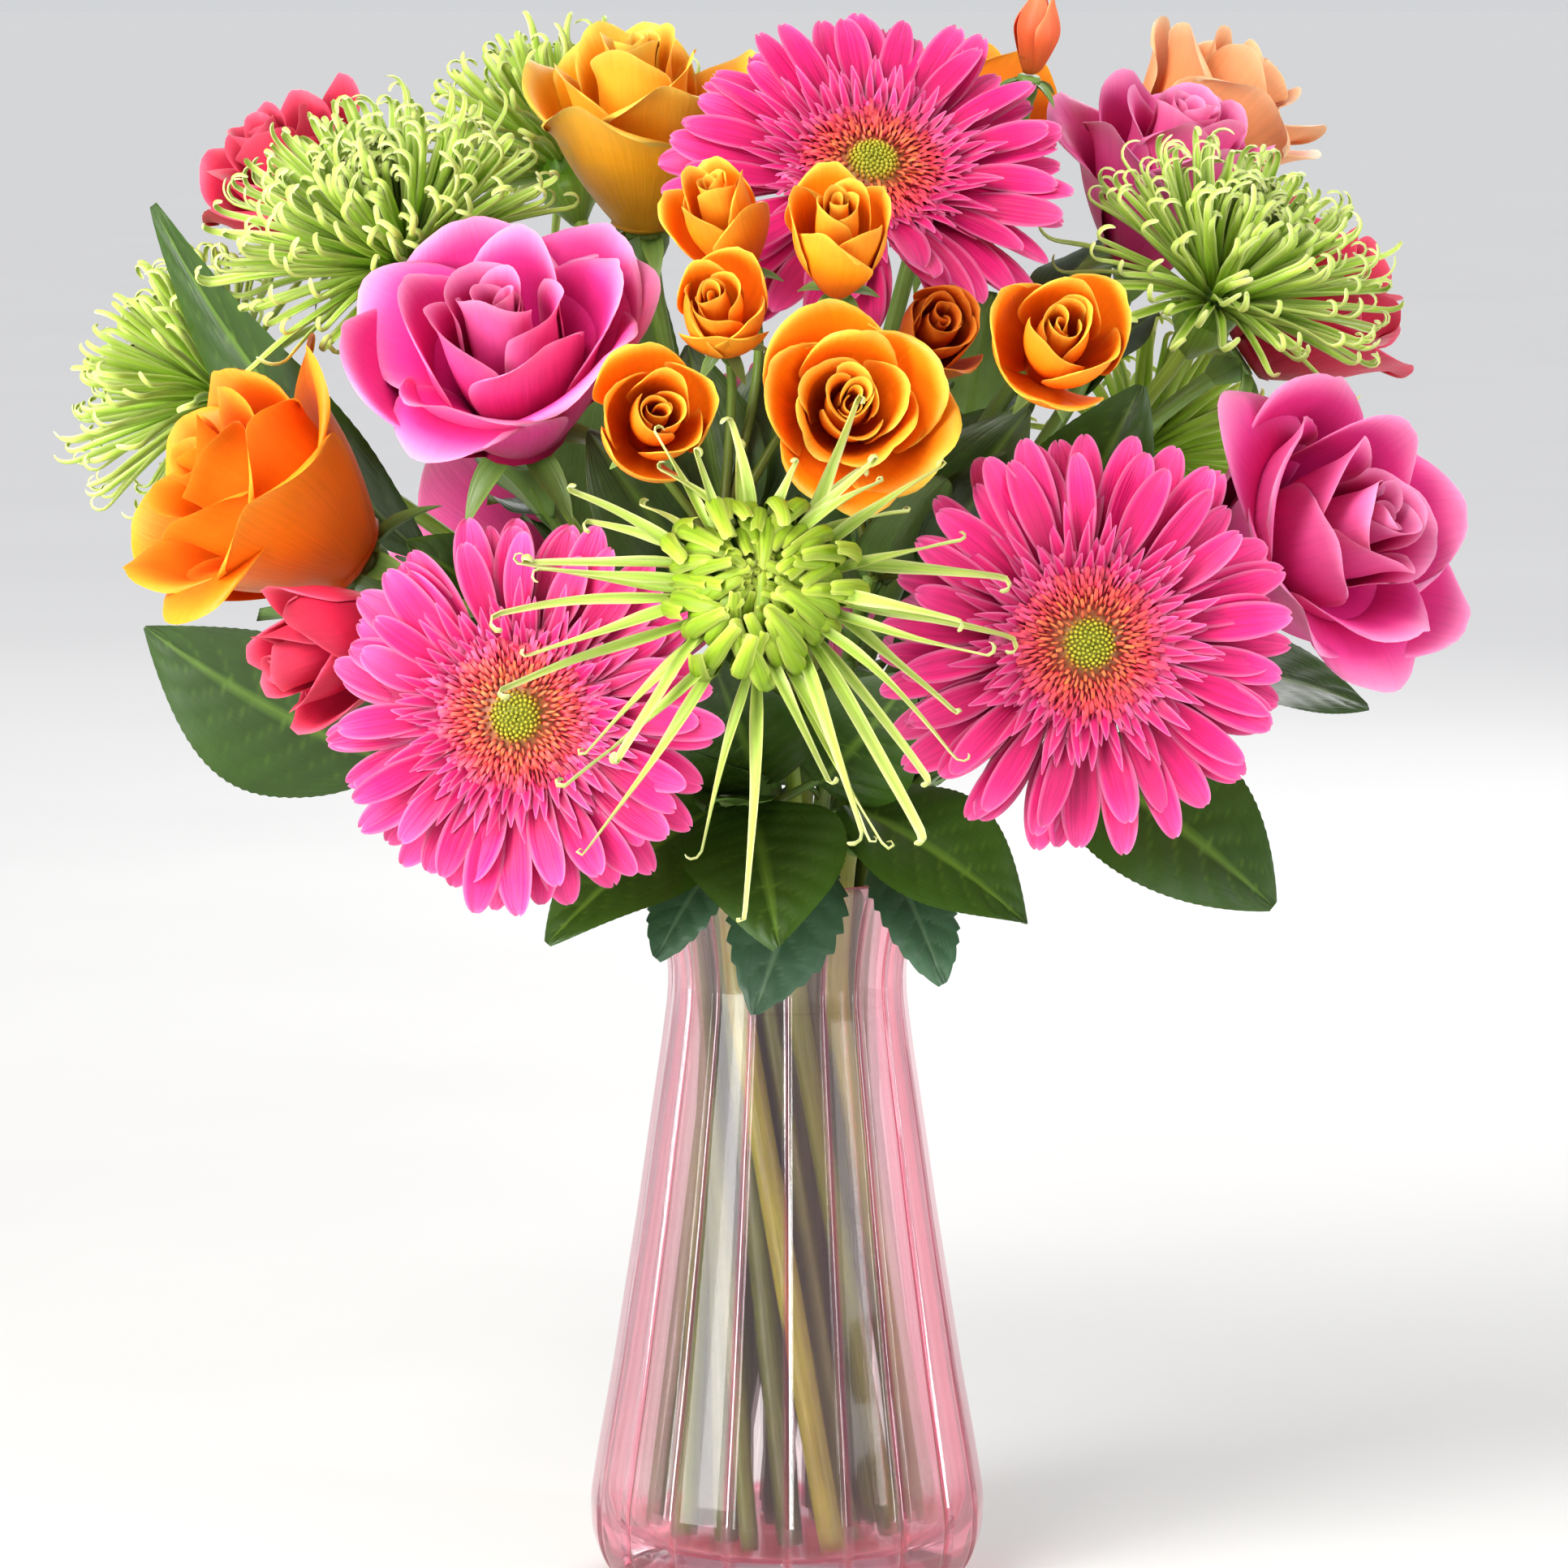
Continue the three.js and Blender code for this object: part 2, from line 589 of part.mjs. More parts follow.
// The disc: a low dome of florets, raised from its surface in points, round a green eye.
function makeDisc(g) {
  const frame = headFrame(g, gerberaDepth);
  // radius, height and how far every second floret stands up
  const rings = [
    [18, 0.35, 0], [18.2, 3, 2.2], [15, 4.6, 3.4], [11.4, 4.8, 3], [8, 3.8, 0.6], [4.4, 6.2, 0.8],
  ];
  const sides = 16;
  const points = [V(0, 0, 0.35)];
  rings.forEach(([r, h, raise], ring) => {
    for (let i = 0; i < sides; i++) {
      const turn = (2 * Math.PI * (i + 0.5 * ring)) / sides;
      const up = (i + ring) % 2 ? raise : 0;
      points.push(V((r + 0.3 * up) * Math.cos(turn), (r + 0.3 * up) * Math.sin(turn), h + up));
    }
  });
  points.push(V(0, 0, 7));
  const triangles = [];
  const at = (ring, i) => 1 + ring * sides + (i % sides);
  for (let i = 0; i < sides; i++) {
    triangles.push(0, at(0, i + 1), at(0, i));
    for (let ring = 0; ring < rings.length - 1; ring++) {
      const [a, b, c, d] = [at(ring, i), at(ring, i + 1), at(ring + 1, i + 1), at(ring + 1, i)];
      triangles.push(a, b, d, b, c, d);
    }
    triangles.push(points.length - 1, at(rings.length - 1, i), at(rings.length - 1, i + 1));
  }
  return solidOf({ points: points.map((p) => p.applyMatrix4(frame)), triangles });
}

// ---------------------------------------------------------------- spider chrysanthemum

// One tubular floret: it leaves the core at the angle polar from the axis, sweeps round and hooks.
function floretPath(frame, turn, polar, start, reach, sweep, hook, fine, lift) {
  const out = V(Math.cos(turn), Math.sin(turn), 0);
  const p = V(0, 0, 0).addScaledVector(out, start * Math.sin(polar));
  p.z = start * Math.cos(polar) + lift;
  const points = [p.clone()];
  let angle = polar;
  const bends = fine ? [sweep * 0.3, sweep * 0.7, hook] : [sweep * 0.6, hook];
  const shares = fine ? [0.4, 0.4, 0.2] : [0.7, 0.3];
  bends.forEach((bend, k) => {
    angle += bend;
    p.addScaledVector(out, reach * shares[k] * Math.sin(angle));
    p.z += reach * shares[k] * Math.cos(angle);
    points.push(p.clone());
  });
  return points.map((q) => q.applyMatrix4(frame));
}

// The dome under the florets: every second point of its rings stands out as a floret's tip.
const domeRadius = (m) => m.radius * (m.skirt ? 0.42 : 0.66);

function mumDome(m) {
  const frame = headFrame(m, mumDepth(m));
  const dome = domeRadius(m);
  const rings = [[0.35, 1.02], [0.85, 1], [1.35, 1], [1.9, 0.86], [2.5, 0.6]]; // polar angle, share
  const sides = 10;
  const spot = (polar, share, turn) =>
    V(dome * share * Math.sin(polar) * Math.cos(turn), dome * share * Math.sin(polar) * Math.sin(turn),
      dome * (0.3 + share * Math.cos(polar)));
  const points = [spot(0, 0.94, 0)];
  rings.forEach(([polar, share], ring) => {
    for (let i = 0; i < sides; i++) {
      const tip = (i + ring) % 2 && ring < 4 ? 1.12 : 0.92;
      points.push(spot(polar, share * tip, (2 * Math.PI * i) / sides));
    }
  });
  points.push(spot(Math.PI, 0.5, 0));
  const at = (ring, i) => 1 + ring * sides + (i % sides);
  const triangles = [];
  for (let i = 0; i < sides; i++) {
    triangles.push(0, at(0, i), at(0, i + 1));
    for (let ring = 0; ring < rings.length - 1; ring++) {
      const [a, b, c, d] = [at(ring, i), at(ring, i + 1), at(ring + 1, i + 1), at(ring + 1, i)];
      if ((i + ring) % 2) triangles.push(a, c, b, a, d, c);
      else triangles.push(a, d, b, d, c, b);
    }
    triangles.push(points.length - 1, at(rings.length - 1, i + 1), at(rings.length - 1, i));
  }
  return solidOf({ points: points.map((p) => p.applyMatrix4(frame)), triangles });
}

function makeMum(m) {
  const frame = headFrame(m, mumDepth(m));
  const dome = domeRadius(m);
  const thin = [union([tubeStem(paths.get(m.name), stemRadius.mum), hearts.get(m.name)])];
  const wide = [];
  for (let i = 0; i < m.petals; i++) {
    const share = (i + 0.5) / m.petals; // 0 is the skirt, 1 the middle
    const turn = i * goldenAngle + 0.1 * draw();
    const polar = mix(m.skirt ? 1.75 : 1.7, 0.3, Math.pow(share, m.skirt ? 1.6 : 0.9)) + 0.06 * draw();
    const reach = mix(m.radius * (m.skirt ? 0.86 : 0.56), m.radius * 0.34, smooth(share, 0.35, 0.95));
    const sweep = mix(0.25, -0.7, smooth(share, 0.3, 0.8));
    const hook = share < 0.45 ? -0.9 : -1.2;
    const long = reach * (1 + 0.08 * draw());
    const points = floretPath(frame, turn, polar, dome * 0.72, long, sweep, hook, m.skirt, dome * 0.3);
    const girth = m.skirt ? [1.8, 2.1, 1.9, 1.1] : [2.1, 2.4, 1.2];
    const make = (extra) => tube(points, girth.map((r) => r + extra), 3);
    const out = points[1].clone().sub(points[0]);
    const hinge = out.cross(facing(m.faces)).normalize();
    const bent = bentClear(m.name, make(gap), points[0], hinge, [1, -1]);
    if (bent) {
      thin.push(turned(make(0), bent.turn));
      wide.push(bent.solid);
    } else console.warn(m.name + ": a floret found no room");
  }
  occupy(m.name, union(wide));
  return mainBody(union(thin));
}

// ---------------------------------------------------------------- rose

// A cupped petal: wrap is half its angle round the head, open leans its rim out and roll turns it back.
function rosePetal(frame, turn, radius, height, wrap, open, roll) {
  return (u, v) => {
    const rise = v * (1 - 0.16 * u * u * v);
    const bowl = Math.sin(Math.min(1, 0.12 + 0.95 * rise) * Math.PI * 0.5);
    const lip = smooth(rise, 0.55, 1);
    const r = radius * (0.16 + 0.84 * bowl * (1 - 0.16 * (1 - open) * lip) + roll * lip * 0.34 + 0.05 * u);
    const z = height * (rise - roll * 0.3 * lip * lip);
    const a = turn + u * wrap * (0.5 + 0.5 * Math.sin(Math.min(1, rise * 1.5) * Math.PI * 0.5));
    return V(r * Math.cos(a), r * Math.sin(a), 0.6 + z).applyMatrix4(frame);
  };
}

// The heart of a rose: closed petals in two turns, their rims dipping where one petal meets the next.
function heartRings(r) {
  const frame = headFrame(r, roseDepth(r));
  const sections = [
    [0.3, 0.12], [0.42, 0.32], [0.6, 0.7], [0.58, 0.95, 1], [0.42, 0.6], [0.32, 1, 0], [0.16, 0.78],
  ];
  const phase = r.layers === 2 ? 1 : 0;
  const slim = r.layers === 2 ? 1 : 0.8; // leaves the petals of a one-layer rose room to bend in
  return sections.map(([out, up, odd]) =>
    headRing(frame, 2 * r.petals, r.radius * out * slim, r.height * up, phase, odd === undefined ? 0 : 0.13, odd),
  );
}

// The open petals grow from the foot in one or two layers, the outer layer rolled back more.
function makeRose(r) {
  const frame = headFrame(r, roseDepth(r));
  const rings = [];
  const petals = new Map();
  const wide = [];
  for (let layer = 0; layer < r.layers; layer++) {
    const inner = layer === 1;
    for (const up of [0, 0.045]) {
      const [out, rise] = [r.radius * (inner ? 0.4 : 0.5), r.height * (up + 0.05 * layer)];
      rings.push(headRing(frame, r.petals, out, rise, 0.5 * layer));
    }
    petals.set(rings.length - 1, Array.from({ length: r.petals }, (_, k) => {
      const turn = (2 * Math.PI * (k + 0.5 + 0.5 * layer)) / r.petals;
      const wrap = 2.8 / r.petals;
      const radius = (r.radius * (inner ? 0.78 : 0.96)) / Math.cos(wrap / 3);
      const height = r.height * (inner ? 0.95 : 0.88);
      const surface = rosePetal(frame, turn, radius, height, wrap, inner ? 0.5 : 1, inner ? 0.1 : 0.3);
      const spots = [0.5, 1].map((v) => [[-1, v], [0, v], [1, v]]);
      return petalRows(r.name, surface, spots, [1], wide);
    }));
  }
  occupy(r.name, union(wide));
  return solidOf(skin([...rings, ...heartRings(r)], petals));
}

function makeBud(b) {
  const frame = headFrame(b, roseDepth(b));
  const { radius, height } = b;
  const profile = [[0, 0], [radius * 0.6, 0], [radius, height * 0.4], [radius * 0.6, height * 0.8]];
  return lathe([...profile, [0, height]], 7, frame);
}

// The green cup under a rose: every second point of its rim is the tip of a sepal.
function calyxRings(r, sides) {
  const wide = Math.max(3.2, r.radius * 0.2);
  const long = wide * 2.2;
  const rim = Array.from({ length: 2 * sides }, (_, i) =>
    i % 2 ? [wide, -2.4] : [wide + long, -3 - long * 0.5],
  );
  return [Array(sides).fill([wide * 0.6, -8]), rim, Array(sides).fill([wide * 0.85, -gap])];
}

const gerberaCup = [Array(10).fill([9, -8]), Array(10).fill([12, -4.6 - gap])];

// ---------------------------------------------------------------- leaves

function leafSurface({ base, tip, up, width }, fold = 0.16, arch = 0.14) {
  const from = V(...base);
  const along = V(...tip).sub(from);
  const long = along.length();
  const side = along.clone().cross(V(...up)).normalize();
  const out = side.clone().cross(along).normalize();
  return (u, v) => {
    const half = (width / 2) * Math.pow(Math.sin(Math.PI * Math.pow(mix(0.03, 0.975, v), 0.8)), 0.85);
    const p = from.clone().addScaledVector(along, v);
    p.addScaledVector(side, half * u);
    return p.addScaledVector(out, fold * half * Math.abs(u) + arch * long * 4 * v * (1 - v) * 0.5);
  };
}

// A rose leaflet has teeth along both edges.
function toothed(leaf) {
  const surface = leafSurface(leaf, 0.1, 0.08);
  const teeth = 5;
  const jag = (v) => 1 - 0.16 * (1 - ((v * teeth) % 1));
  return (u, v) => surface(u * jag(Math.min(v, 0.999)), v);
}

// ---------------------------------------------------------------- assembly

const paths = new Map(stems.map((s, k) => [s.name, stemPath(k)]));

const tubeStem = (points, radius) => solidOf(tube(points, points.map(() => radius), stemSides));

const materials = {
  glass: { color: 0xe892ad, roughness: 0.05, metalness: 0, transparent: true, opacity: 0.4 },
  water: { color: 0xf4e4ea, roughness: 0.02, metalness: 0, transparent: true, opacity: 0.35 },
  gerbera: { color: 0xf02d83, roughness: 0.55, metalness: 0 },
  disc: { color: 0xd8342a, roughness: 0.7, metalness: 0 },
  mum: { color: 0xa9d629, roughness: 0.55, metalness: 0 },
  pink: { color: 0xe653b4, roughness: 0.5, metalness: 0 },
  orange: { color: 0xff8c0a, roughness: 0.5, metalness: 0 },
  peach: { color: 0xf7a463, roughness: 0.5, metalness: 0 },
  hot: { color: 0xd8204f, roughness: 0.5, metalness: 0 },
  stem: { color: 0x7d8c34, roughness: 0.5, metalness: 0 },
  leaf: { color: 0x2f5a1c, roughness: 0.4, metalness: 0 },
};

const bouquet = new THREE.Group();
bouquet.name = "bouquet_in_vase";

function add(name, made, material) {
  const { vertProperties, triVerts, numVert, numProp } = made.getMesh();
  const positions = new Float32Array(numVert * 3);
  for (let i = 0; i < numVert; i++) {
    positions.set(vertProperties.subarray(i * numProp, i * numProp + 3), i * 3);
  }
  const geometry = new THREE.BufferGeometry();
  geometry.setAttribute("position", new THREE.BufferAttribute(positions, 3));
  geometry.setIndex(new THREE.BufferAttribute(Uint32Array.from(triVerts), 1));
  const mesh = new THREE.Mesh(geometry, new THREE.MeshStandardMaterial(materials[material]));
  mesh.name = name;
  bouquet.add(mesh);
}

// Stems first: nothing that is bent clear may touch them.
const radiusOf = (name) => stemRadius[name.split("_")[0]] ?? stemRadius.sprig;
const holes = [];
for (const s of stems) {
  const points = paths.get(s.name);
  const wide = radiusOf(s.name) + 1.5 * gap;
  const owner = s.name.startsWith("mum") || !s.end ? s.name : s.name + "_stem";
  occupy(owner, tubeStem(points, wide));
  const below = points[0].clone().sub(points[1]).setLength(6);
  holes.push(tubeStem([points[0].clone().add(below), ...points.slice(1)], wide));
}
const glass = makeVase();
occupy("vase", glass);

add("vase", glass, "glass");
add("water", makeWater(holes), "water");

// The sprays: a stem that forks into a branch and a small cup for each head.
const sprayStems = new Map();
for (const s of sprays) {
  const points = paths.get(s.name);
  const parts = [tubeStem(points, stemRadius.spray)];
  const start = V(...s.fork).add(points.at(-2).clone().sub(points.at(-1)).setLength(1));
  for (const h of s.heads) {
    const frame = headFrame(h, roseDepth(h));
    const end = V(0, 0, -11).applyMatrix4(frame);
    const back = end.clone().addScaledVector(facing(h.faces), -0.35 * end.distanceTo(start));
    const rise = start.clone().add(V(0, 0, 0.3 * end.distanceTo(start)));
    const curve = new THREE.CubicBezierCurve3(start, rise, back, end);
    parts.push(cuppedStem(curve.getPoints(3), stemRadius.branch, 4, frame, calyxRings(h, 4)));
  }
  sprayStems.set(s.name, parts);
  for (const p of parts.slice(1)) occupy(s.name, p);
}

// Each bloom's own stem, with the cup under its head.
const cuppedStems = new Map();
for (const h of everyHead.filter((x) => !x.name.startsWith("mum"))) {
  const isGerbera = h.name.startsWith("gerbera");
  const frame = headFrame(h, isGerbera ? gerberaDepth : roseDepth(h));
  const cup = isGerbera ? gerberaCup : calyxRings(h, stemSides);
  const stem = cuppedStem(paths.get(h.name), radiusOf(h.name), stemSides, frame, cup);
  cuppedStems.set(h.name, stem);
  occupy(h.name + "_stem", stem);
}

// The closed middle of every head, which all petals keep clear of.
const hearts = new Map();
const smallHeads = sprays.flatMap((s) => s.heads);
for (const h of [...gerberas, ...mums, ...roses, ...smallHeads]) {
  const make = h.name.startsWith("gerbera") ? gerberaBase
    : h.name.startsWith("mum") ? mumDome
    : h.name === "spray_bud" ? makeBud
    : (r) => solidOf(skin(heartRings(r)));
  hearts.set(h.name, make(h));
  if (!isClear(h.name, hearts.get(h.name))) console.warn(h.name + ": its middle has no room");
  occupy(h.name, hearts.get(h.name));
}
for (const g of gerberas) {
  const disc = makeDisc(g);
  occupy(g.name + "_disc", disc);
  add(g.name + "_disc", disc, "disc");
}

// Petals, the foremost heads first.
const petalJobs = [
  ...gerberas.map((g) => ({
    y: g.at[1] - 60,
    run: () => add(g.name + "_petals", makeGerbera(g), "gerbera"),
  })),
  ...mums.map((m) => ({ y: m.at[1], run: () => add(m.name, makeMum(m), "mum") })),
  ...roses.map((r) => ({ y: r.at[1], run: () => add(r.name + "_petals", makeRose(r), r.kind) })),
  ...smallHeads.map((h) => ({
    y: h.at[1] - 20,
    run: () => add(h.name, h.petals ? makeRose(h) : hearts.get(h.name), "orange"),
  })),
];
petalJobs.sort((a, b) => a.y - b.y).forEach((job) => job.run());

for (const [name, stem] of cuppedStems) add(name + "_stem", stem, "stem");

for (const [name, parts] of sprayStems) add(name, mainBody(union(parts)), "stem");

// Leaves come last and fill what room is left.
for (const { name, tie, leaves, leaflets = [] } of sprigs) {
  const stalks = [...leaves, ...leaflets].map(({ base, tip }) => {
    const into = V(...base).add(V(...tip).sub(V(...base)).setLength(3));
    return solidOf(tube([V(...tie), into], [1.4, 1], 3));
  });
  const core = union([tubeStem(paths.get(name), stemRadius.sprig), ...stalks]);
  const ways = [1, -1];
  const blades = [
    ...leaves.map((leaf) => ({ surface: leafSurface(leaf), across: 2, along: 3, ways })),
    ...leaflets.map((leaf) => ({ surface: toothed(leaf), across: 2, along: 5, ways })),
  ];
  add(name, dress(name, core, blades), "leaf");
}

export default bouquet;
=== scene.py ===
# A mixed bouquet in a fluted pink glass vase: fine petals, florets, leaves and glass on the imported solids.
import math

import bpy
import numpy as np
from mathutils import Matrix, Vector
from mathutils.bvhtree import BVHTree


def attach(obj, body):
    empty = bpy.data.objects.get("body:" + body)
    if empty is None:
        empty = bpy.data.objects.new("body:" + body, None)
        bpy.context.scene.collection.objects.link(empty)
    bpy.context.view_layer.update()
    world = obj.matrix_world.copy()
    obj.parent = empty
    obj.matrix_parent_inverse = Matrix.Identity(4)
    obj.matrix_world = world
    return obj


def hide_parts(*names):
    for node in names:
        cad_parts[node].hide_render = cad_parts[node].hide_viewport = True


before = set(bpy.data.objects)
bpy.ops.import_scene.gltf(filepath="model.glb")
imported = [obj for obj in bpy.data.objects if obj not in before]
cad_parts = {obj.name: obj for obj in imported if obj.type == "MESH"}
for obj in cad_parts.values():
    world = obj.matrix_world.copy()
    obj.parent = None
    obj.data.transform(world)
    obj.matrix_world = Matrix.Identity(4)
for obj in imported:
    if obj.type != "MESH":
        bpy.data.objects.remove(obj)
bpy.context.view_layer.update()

mm = 0.001  # all shapes are worked out in millimetres
golden = math.pi * (3 - math.sqrt(5))

view = {"target": (-0.0008, 0, 0.203), "distance": 1.6, "elevation": 7, "lens": 146.1, "sensor": 36}


def mix(a, b, t):
    return a + (b - a) * t


def smooth(x, low, high):
    t = np.clip((x - low) / (high - low), 0, 1)
    return t * t * (3 - 2 * t)


def unit(v):
    v = np.asarray(v, float)
    return v / np.maximum(np.linalg.norm(v, axis=-1, keepdims=True), 1e-9)


def hump(x, wide):
    return np.exp(-(x / wide) ** 2)


def colour(code):  # linear light from a web colour
    parts = np.array([int(code[k:k + 2], 16) / 255 for k in (1, 3, 5)])
    return np.where(parts <= 0.04045, parts / 12.92, ((parts + 0.055) / 1.055) ** 2.4)


def ramp(x, *stops):
    at = [s for s, _ in stops]
    tones = np.array([colour(c) if isinstance(c, str) else c for _, c in stops])
    return np.stack([np.interp(x, at, tones[:, k]) for k in range(3)], -1)


def turned(points, root, axis, angle):  # points swung round an axis through root
    p = points - root
    c, s = math.cos(angle), math.sin(angle)
    return root + p * c + np.cross(axis, p) * s + np.asarray(axis) * (p @ axis)[..., None] * (1 - c)


def makeCamera():
    lens = bpy.data.cameras.new("camera")
    lens.lens, lens.sensor_width = view["lens"], view["sensor"]
    eye = bpy.data.objects.new("camera", lens)
    rise = math.radians(view["elevation"])
    target = Vector(view["target"])
    eye.location = target + view["distance"] * Vector((0, -math.cos(rise), math.sin(rise)))
    eye.rotation_euler = (target - eye.location).to_track_quat("-Z", "Y").to_euler()
    bpy.context.scene.collection.objects.link(eye)
    bpy.context.scene.camera = eye


makeCamera()
print("camera set")


# ---- materials

class Wire:  # one output of a node, with arithmetic that adds Math nodes
    def __init__(self, finish, socket):
        self.finish, self.socket = finish, socket

    def maths(self, operation, *values):
        return self.finish.add("ShaderNodeMath", {"operation": operation}, dict(enumerate(values)))

    def __add__(self, other):
        return self.maths("ADD", self, other)

    def __mul__(self, other):
        return self.maths("MULTIPLY", self, other)

    __radd__, __rmul__ = __add__, __mul__


class Finish:  # a material with its nodes
    def __init__(self, name, **constants):
        self.material = bpy.data.materials.new(name)
        self.material.use_nodes = True
        self.tree = self.material.node_tree
        self.shader = self.tree.nodes["Principled BSDF"]
        for key, value in constants.items():
            label = " ".join(word.capitalize() for word in key.split("_")).replace("Ior", "IOR")
            self.shader.inputs[label].default_value = value

    def add(self, kind, settings=(), values=(), out=0):
        node = self.tree.nodes.new(kind)
        for key, value in dict(settings).items():
            setattr(node, key, value)
        for key, value in dict(values).items():
            self.link(value, node.inputs[key])
        return Wire(self, node.outputs[out])

    def link(self, value, socket):
        if isinstance(value, Wire):
            self.tree.links.new(value.socket, socket)
        else:
            socket.default_value = (*colour(value), 1) if isinstance(value, str) else value

    def feed(self, name, wire):
        self.link(wire, self.shader.inputs[name])

    def attribute(self, name, out="Color"):
        return self.add("ShaderNodeAttribute", {"attribute_name": name}, out=out)

    def stretched(self, vector, x, y, z):  # a vector times three factors
        return self.add("ShaderNodeVectorMath", {"operation": "MULTIPLY"}, {0: vector, 1: (x, y, z)})

    def noise(self, vector, scale, detail):
        return self.add("ShaderNodeTexNoise", {}, {"Vector": vector, "Scale": scale, "Detail": detail})

    def tones(self, factor, a, b, blend="MIX"):  # a colour mix
        settings = {"data_type": "RGBA", "blend_type": blend}
        return self.add("ShaderNodeMix", settings, {0: factor, 6: a, 7: b}, out=2)

    def spread(self, wire, low, high, to0=0.0, to1=1.0):  # low to high laid out from to0 to to1
        return self.add("ShaderNodeMapRange", {}, {0: wire, 1: low, 2: high, 3: to0, 4: to1})

    def bump(self, height, distance):
        values = {"Strength": 1.0, "Distance": distance, "Height": height}
        self.feed("Normal", self.add("ShaderNodeBump", {}, values))


petalGrain = {  # noise along and across a petal in lines per mm, its range, and how far the gloss varies
    "lines": (1.5, 0.05, 1), "cloud": (0.09, 0.09, 1), "lineRange": (0.35, 0.65), "cloudRange": (0.3, 0.7),
    "glossier": 0.08, "duller": 0.1,
}


def petalFinish(name, rough, streak, blotch, ridge, **constants):
    f, look = Finish(name, **constants), petalGrain
    grain = f.attribute("grain", "Vector")
    lines = f.noise(f.stretched(grain, *look["lines"]), 1.0, 2)
    cloud = f.noise(f.stretched(grain, *look["cloud"]), 1.0, 3)
    dark = (f.spread(lines, *look["lineRange"], 1 - streak, 1.0)
            * f.spread(cloud, *look["cloudRange"], 1 - blotch, 1.0))
    shade = f.add("ShaderNodeCombineColor", {}, {0: dark, 1: dark, 2: dark})
    f.feed("Base Color", f.tones(1.0, f.attribute("tint"), shade, "MULTIPLY"))
    gloss = rough - look["glossier"], rough + look["duller"]
    f.feed("Roughness", f.spread(cloud, *look["cloudRange"], *gloss))
    f.bump(lines, ridge)
    return f.material


matt = {"specular_ior_level": 0.3}
soft = {"subsurface_weight": 0.25, "subsurface_radius": (1.0, 0.3, 0.25), "subsurface_scale": 0.0012, **matt}
softGreen = {**soft, "subsurface_radius": (0.6, 1.0, 0.1)}
firm = {"subsurface_weight": 0.1, "subsurface_scale": 0.001}
finishes = {  # roughness, streaks, blotches and the height of the streaks
    "gerbera": petalFinish("gerberaPetal", 0.5, 0.22, 0.12, 0.0003, **soft),
    "disc": petalFinish("gerberaDisc", 0.5, 0.1, 0.2, 0.0001, **{**firm, "subsurface_weight": 0.15}),
    "mum": petalFinish("spiderFloret", 0.42, 0.3, 0.12, 0.0002, **softGreen),
    "rose": petalFinish("rosePetal", 0.5, 0.07, 0.1, 0.00012, **soft),
    "stem": petalFinish("greenStem", 0.42, 0.2, 0.25, 0.0002, **firm),
    "leaf": petalFinish("glossyLeaf", 0.42, 0.1, 0.22, 0.0001, specular_ior_level=0.4),
}


# glow is painted light: the glass glows a little in its own pink; the deep tone is a painted deeper pink at
# glancing angles, standing in for refraction
glassLook = {
    "ior": 1.12, "coat_ior": 2.0, "glow": 0.12, "clear": "#ffdfe7", "deep": "#dc2a62",
    "water_ior": 1.15, "water": "#fff3f5",
}


def glassFinish():
    f = Finish("pinkGlass", transmission_weight=1.0, ior=glassLook["ior"], roughness=0.0, coat_weight=1.0,
               coat_ior=glassLook["coat_ior"], emission_strength=glassLook["glow"])
    facing = f.add("ShaderNodeLayerWeight", {}, {"Blend": 0.4}, out="Facing")
    tint = f.attribute("tint")
    # painted refraction: the glass turns deeper pink where it is seen at a glancing angle
    deep = f.tones(f.spread(facing, 0.1, 0.8), glassLook["clear"], glassLook["deep"])
    pink = f.tones(1.0, deep, tint, "MULTIPLY")
    f.feed("Base Color", pink)
    # painted light: the glass glows in the same pink
    f.feed("Emission Color", pink)
    green = f.add("ShaderNodeSeparateColor", {}, {0: tint}, out=1)  # low where the glass is deep pink
    cover = f.spread(facing, 0.1, 0.66, 0.2, 0.95) + f.spread(green, 0.9, 0.1, 0.0, 0.8)
    f.feed("Alpha", f.add("ShaderNodeClamp", {}, {0: cover}))
    return f.material


def waterFinish():
    f = Finish("stillWater", transmission_weight=1.0, ior=glassLook["water_ior"], roughness=0.0)
    f.feed("Base Color", glassLook["water"])
    facing = f.add("ShaderNodeLayerWeight", {}, {"Blend": 0.3}, out="Facing")
    f.feed("Alpha", f.spread(facing, 0.0, 0.9, 0.03, 0.3))
    return f.material


finishes.update(glass=glassFinish(), water=waterFinish())


floorLook = {
    "tones": ("#d9d8d6", "#dfdedc"), "size": 300.0, "glow": (0.36, 0.36, 0.37, 1), "glowFrom": (0.3, 2.2),
}


def floorFinish():  # the far floor glows a little, so that it meets the backdrop without a band
    f = Finish("paleFloor", roughness=0.6, emission_strength=1.0)
    place = f.add("ShaderNodeTexCoord", out="Object")
    f.feed("Base Color", f.tones(f.spread(f.noise(place, 3.0, 3), 0.3, 0.7), *floorLook["tones"]))
    away = f.add("ShaderNodeVectorMath", {"operation": "LENGTH"}, {0: place}, out=1)
    far = f.spread(away, *floorLook["glowFrom"])
    f.feed("Emission Color", f.tones(far, (0, 0, 0, 1), floorLook["glow"]))
    return f.material


# ---- meshes

plans = {}


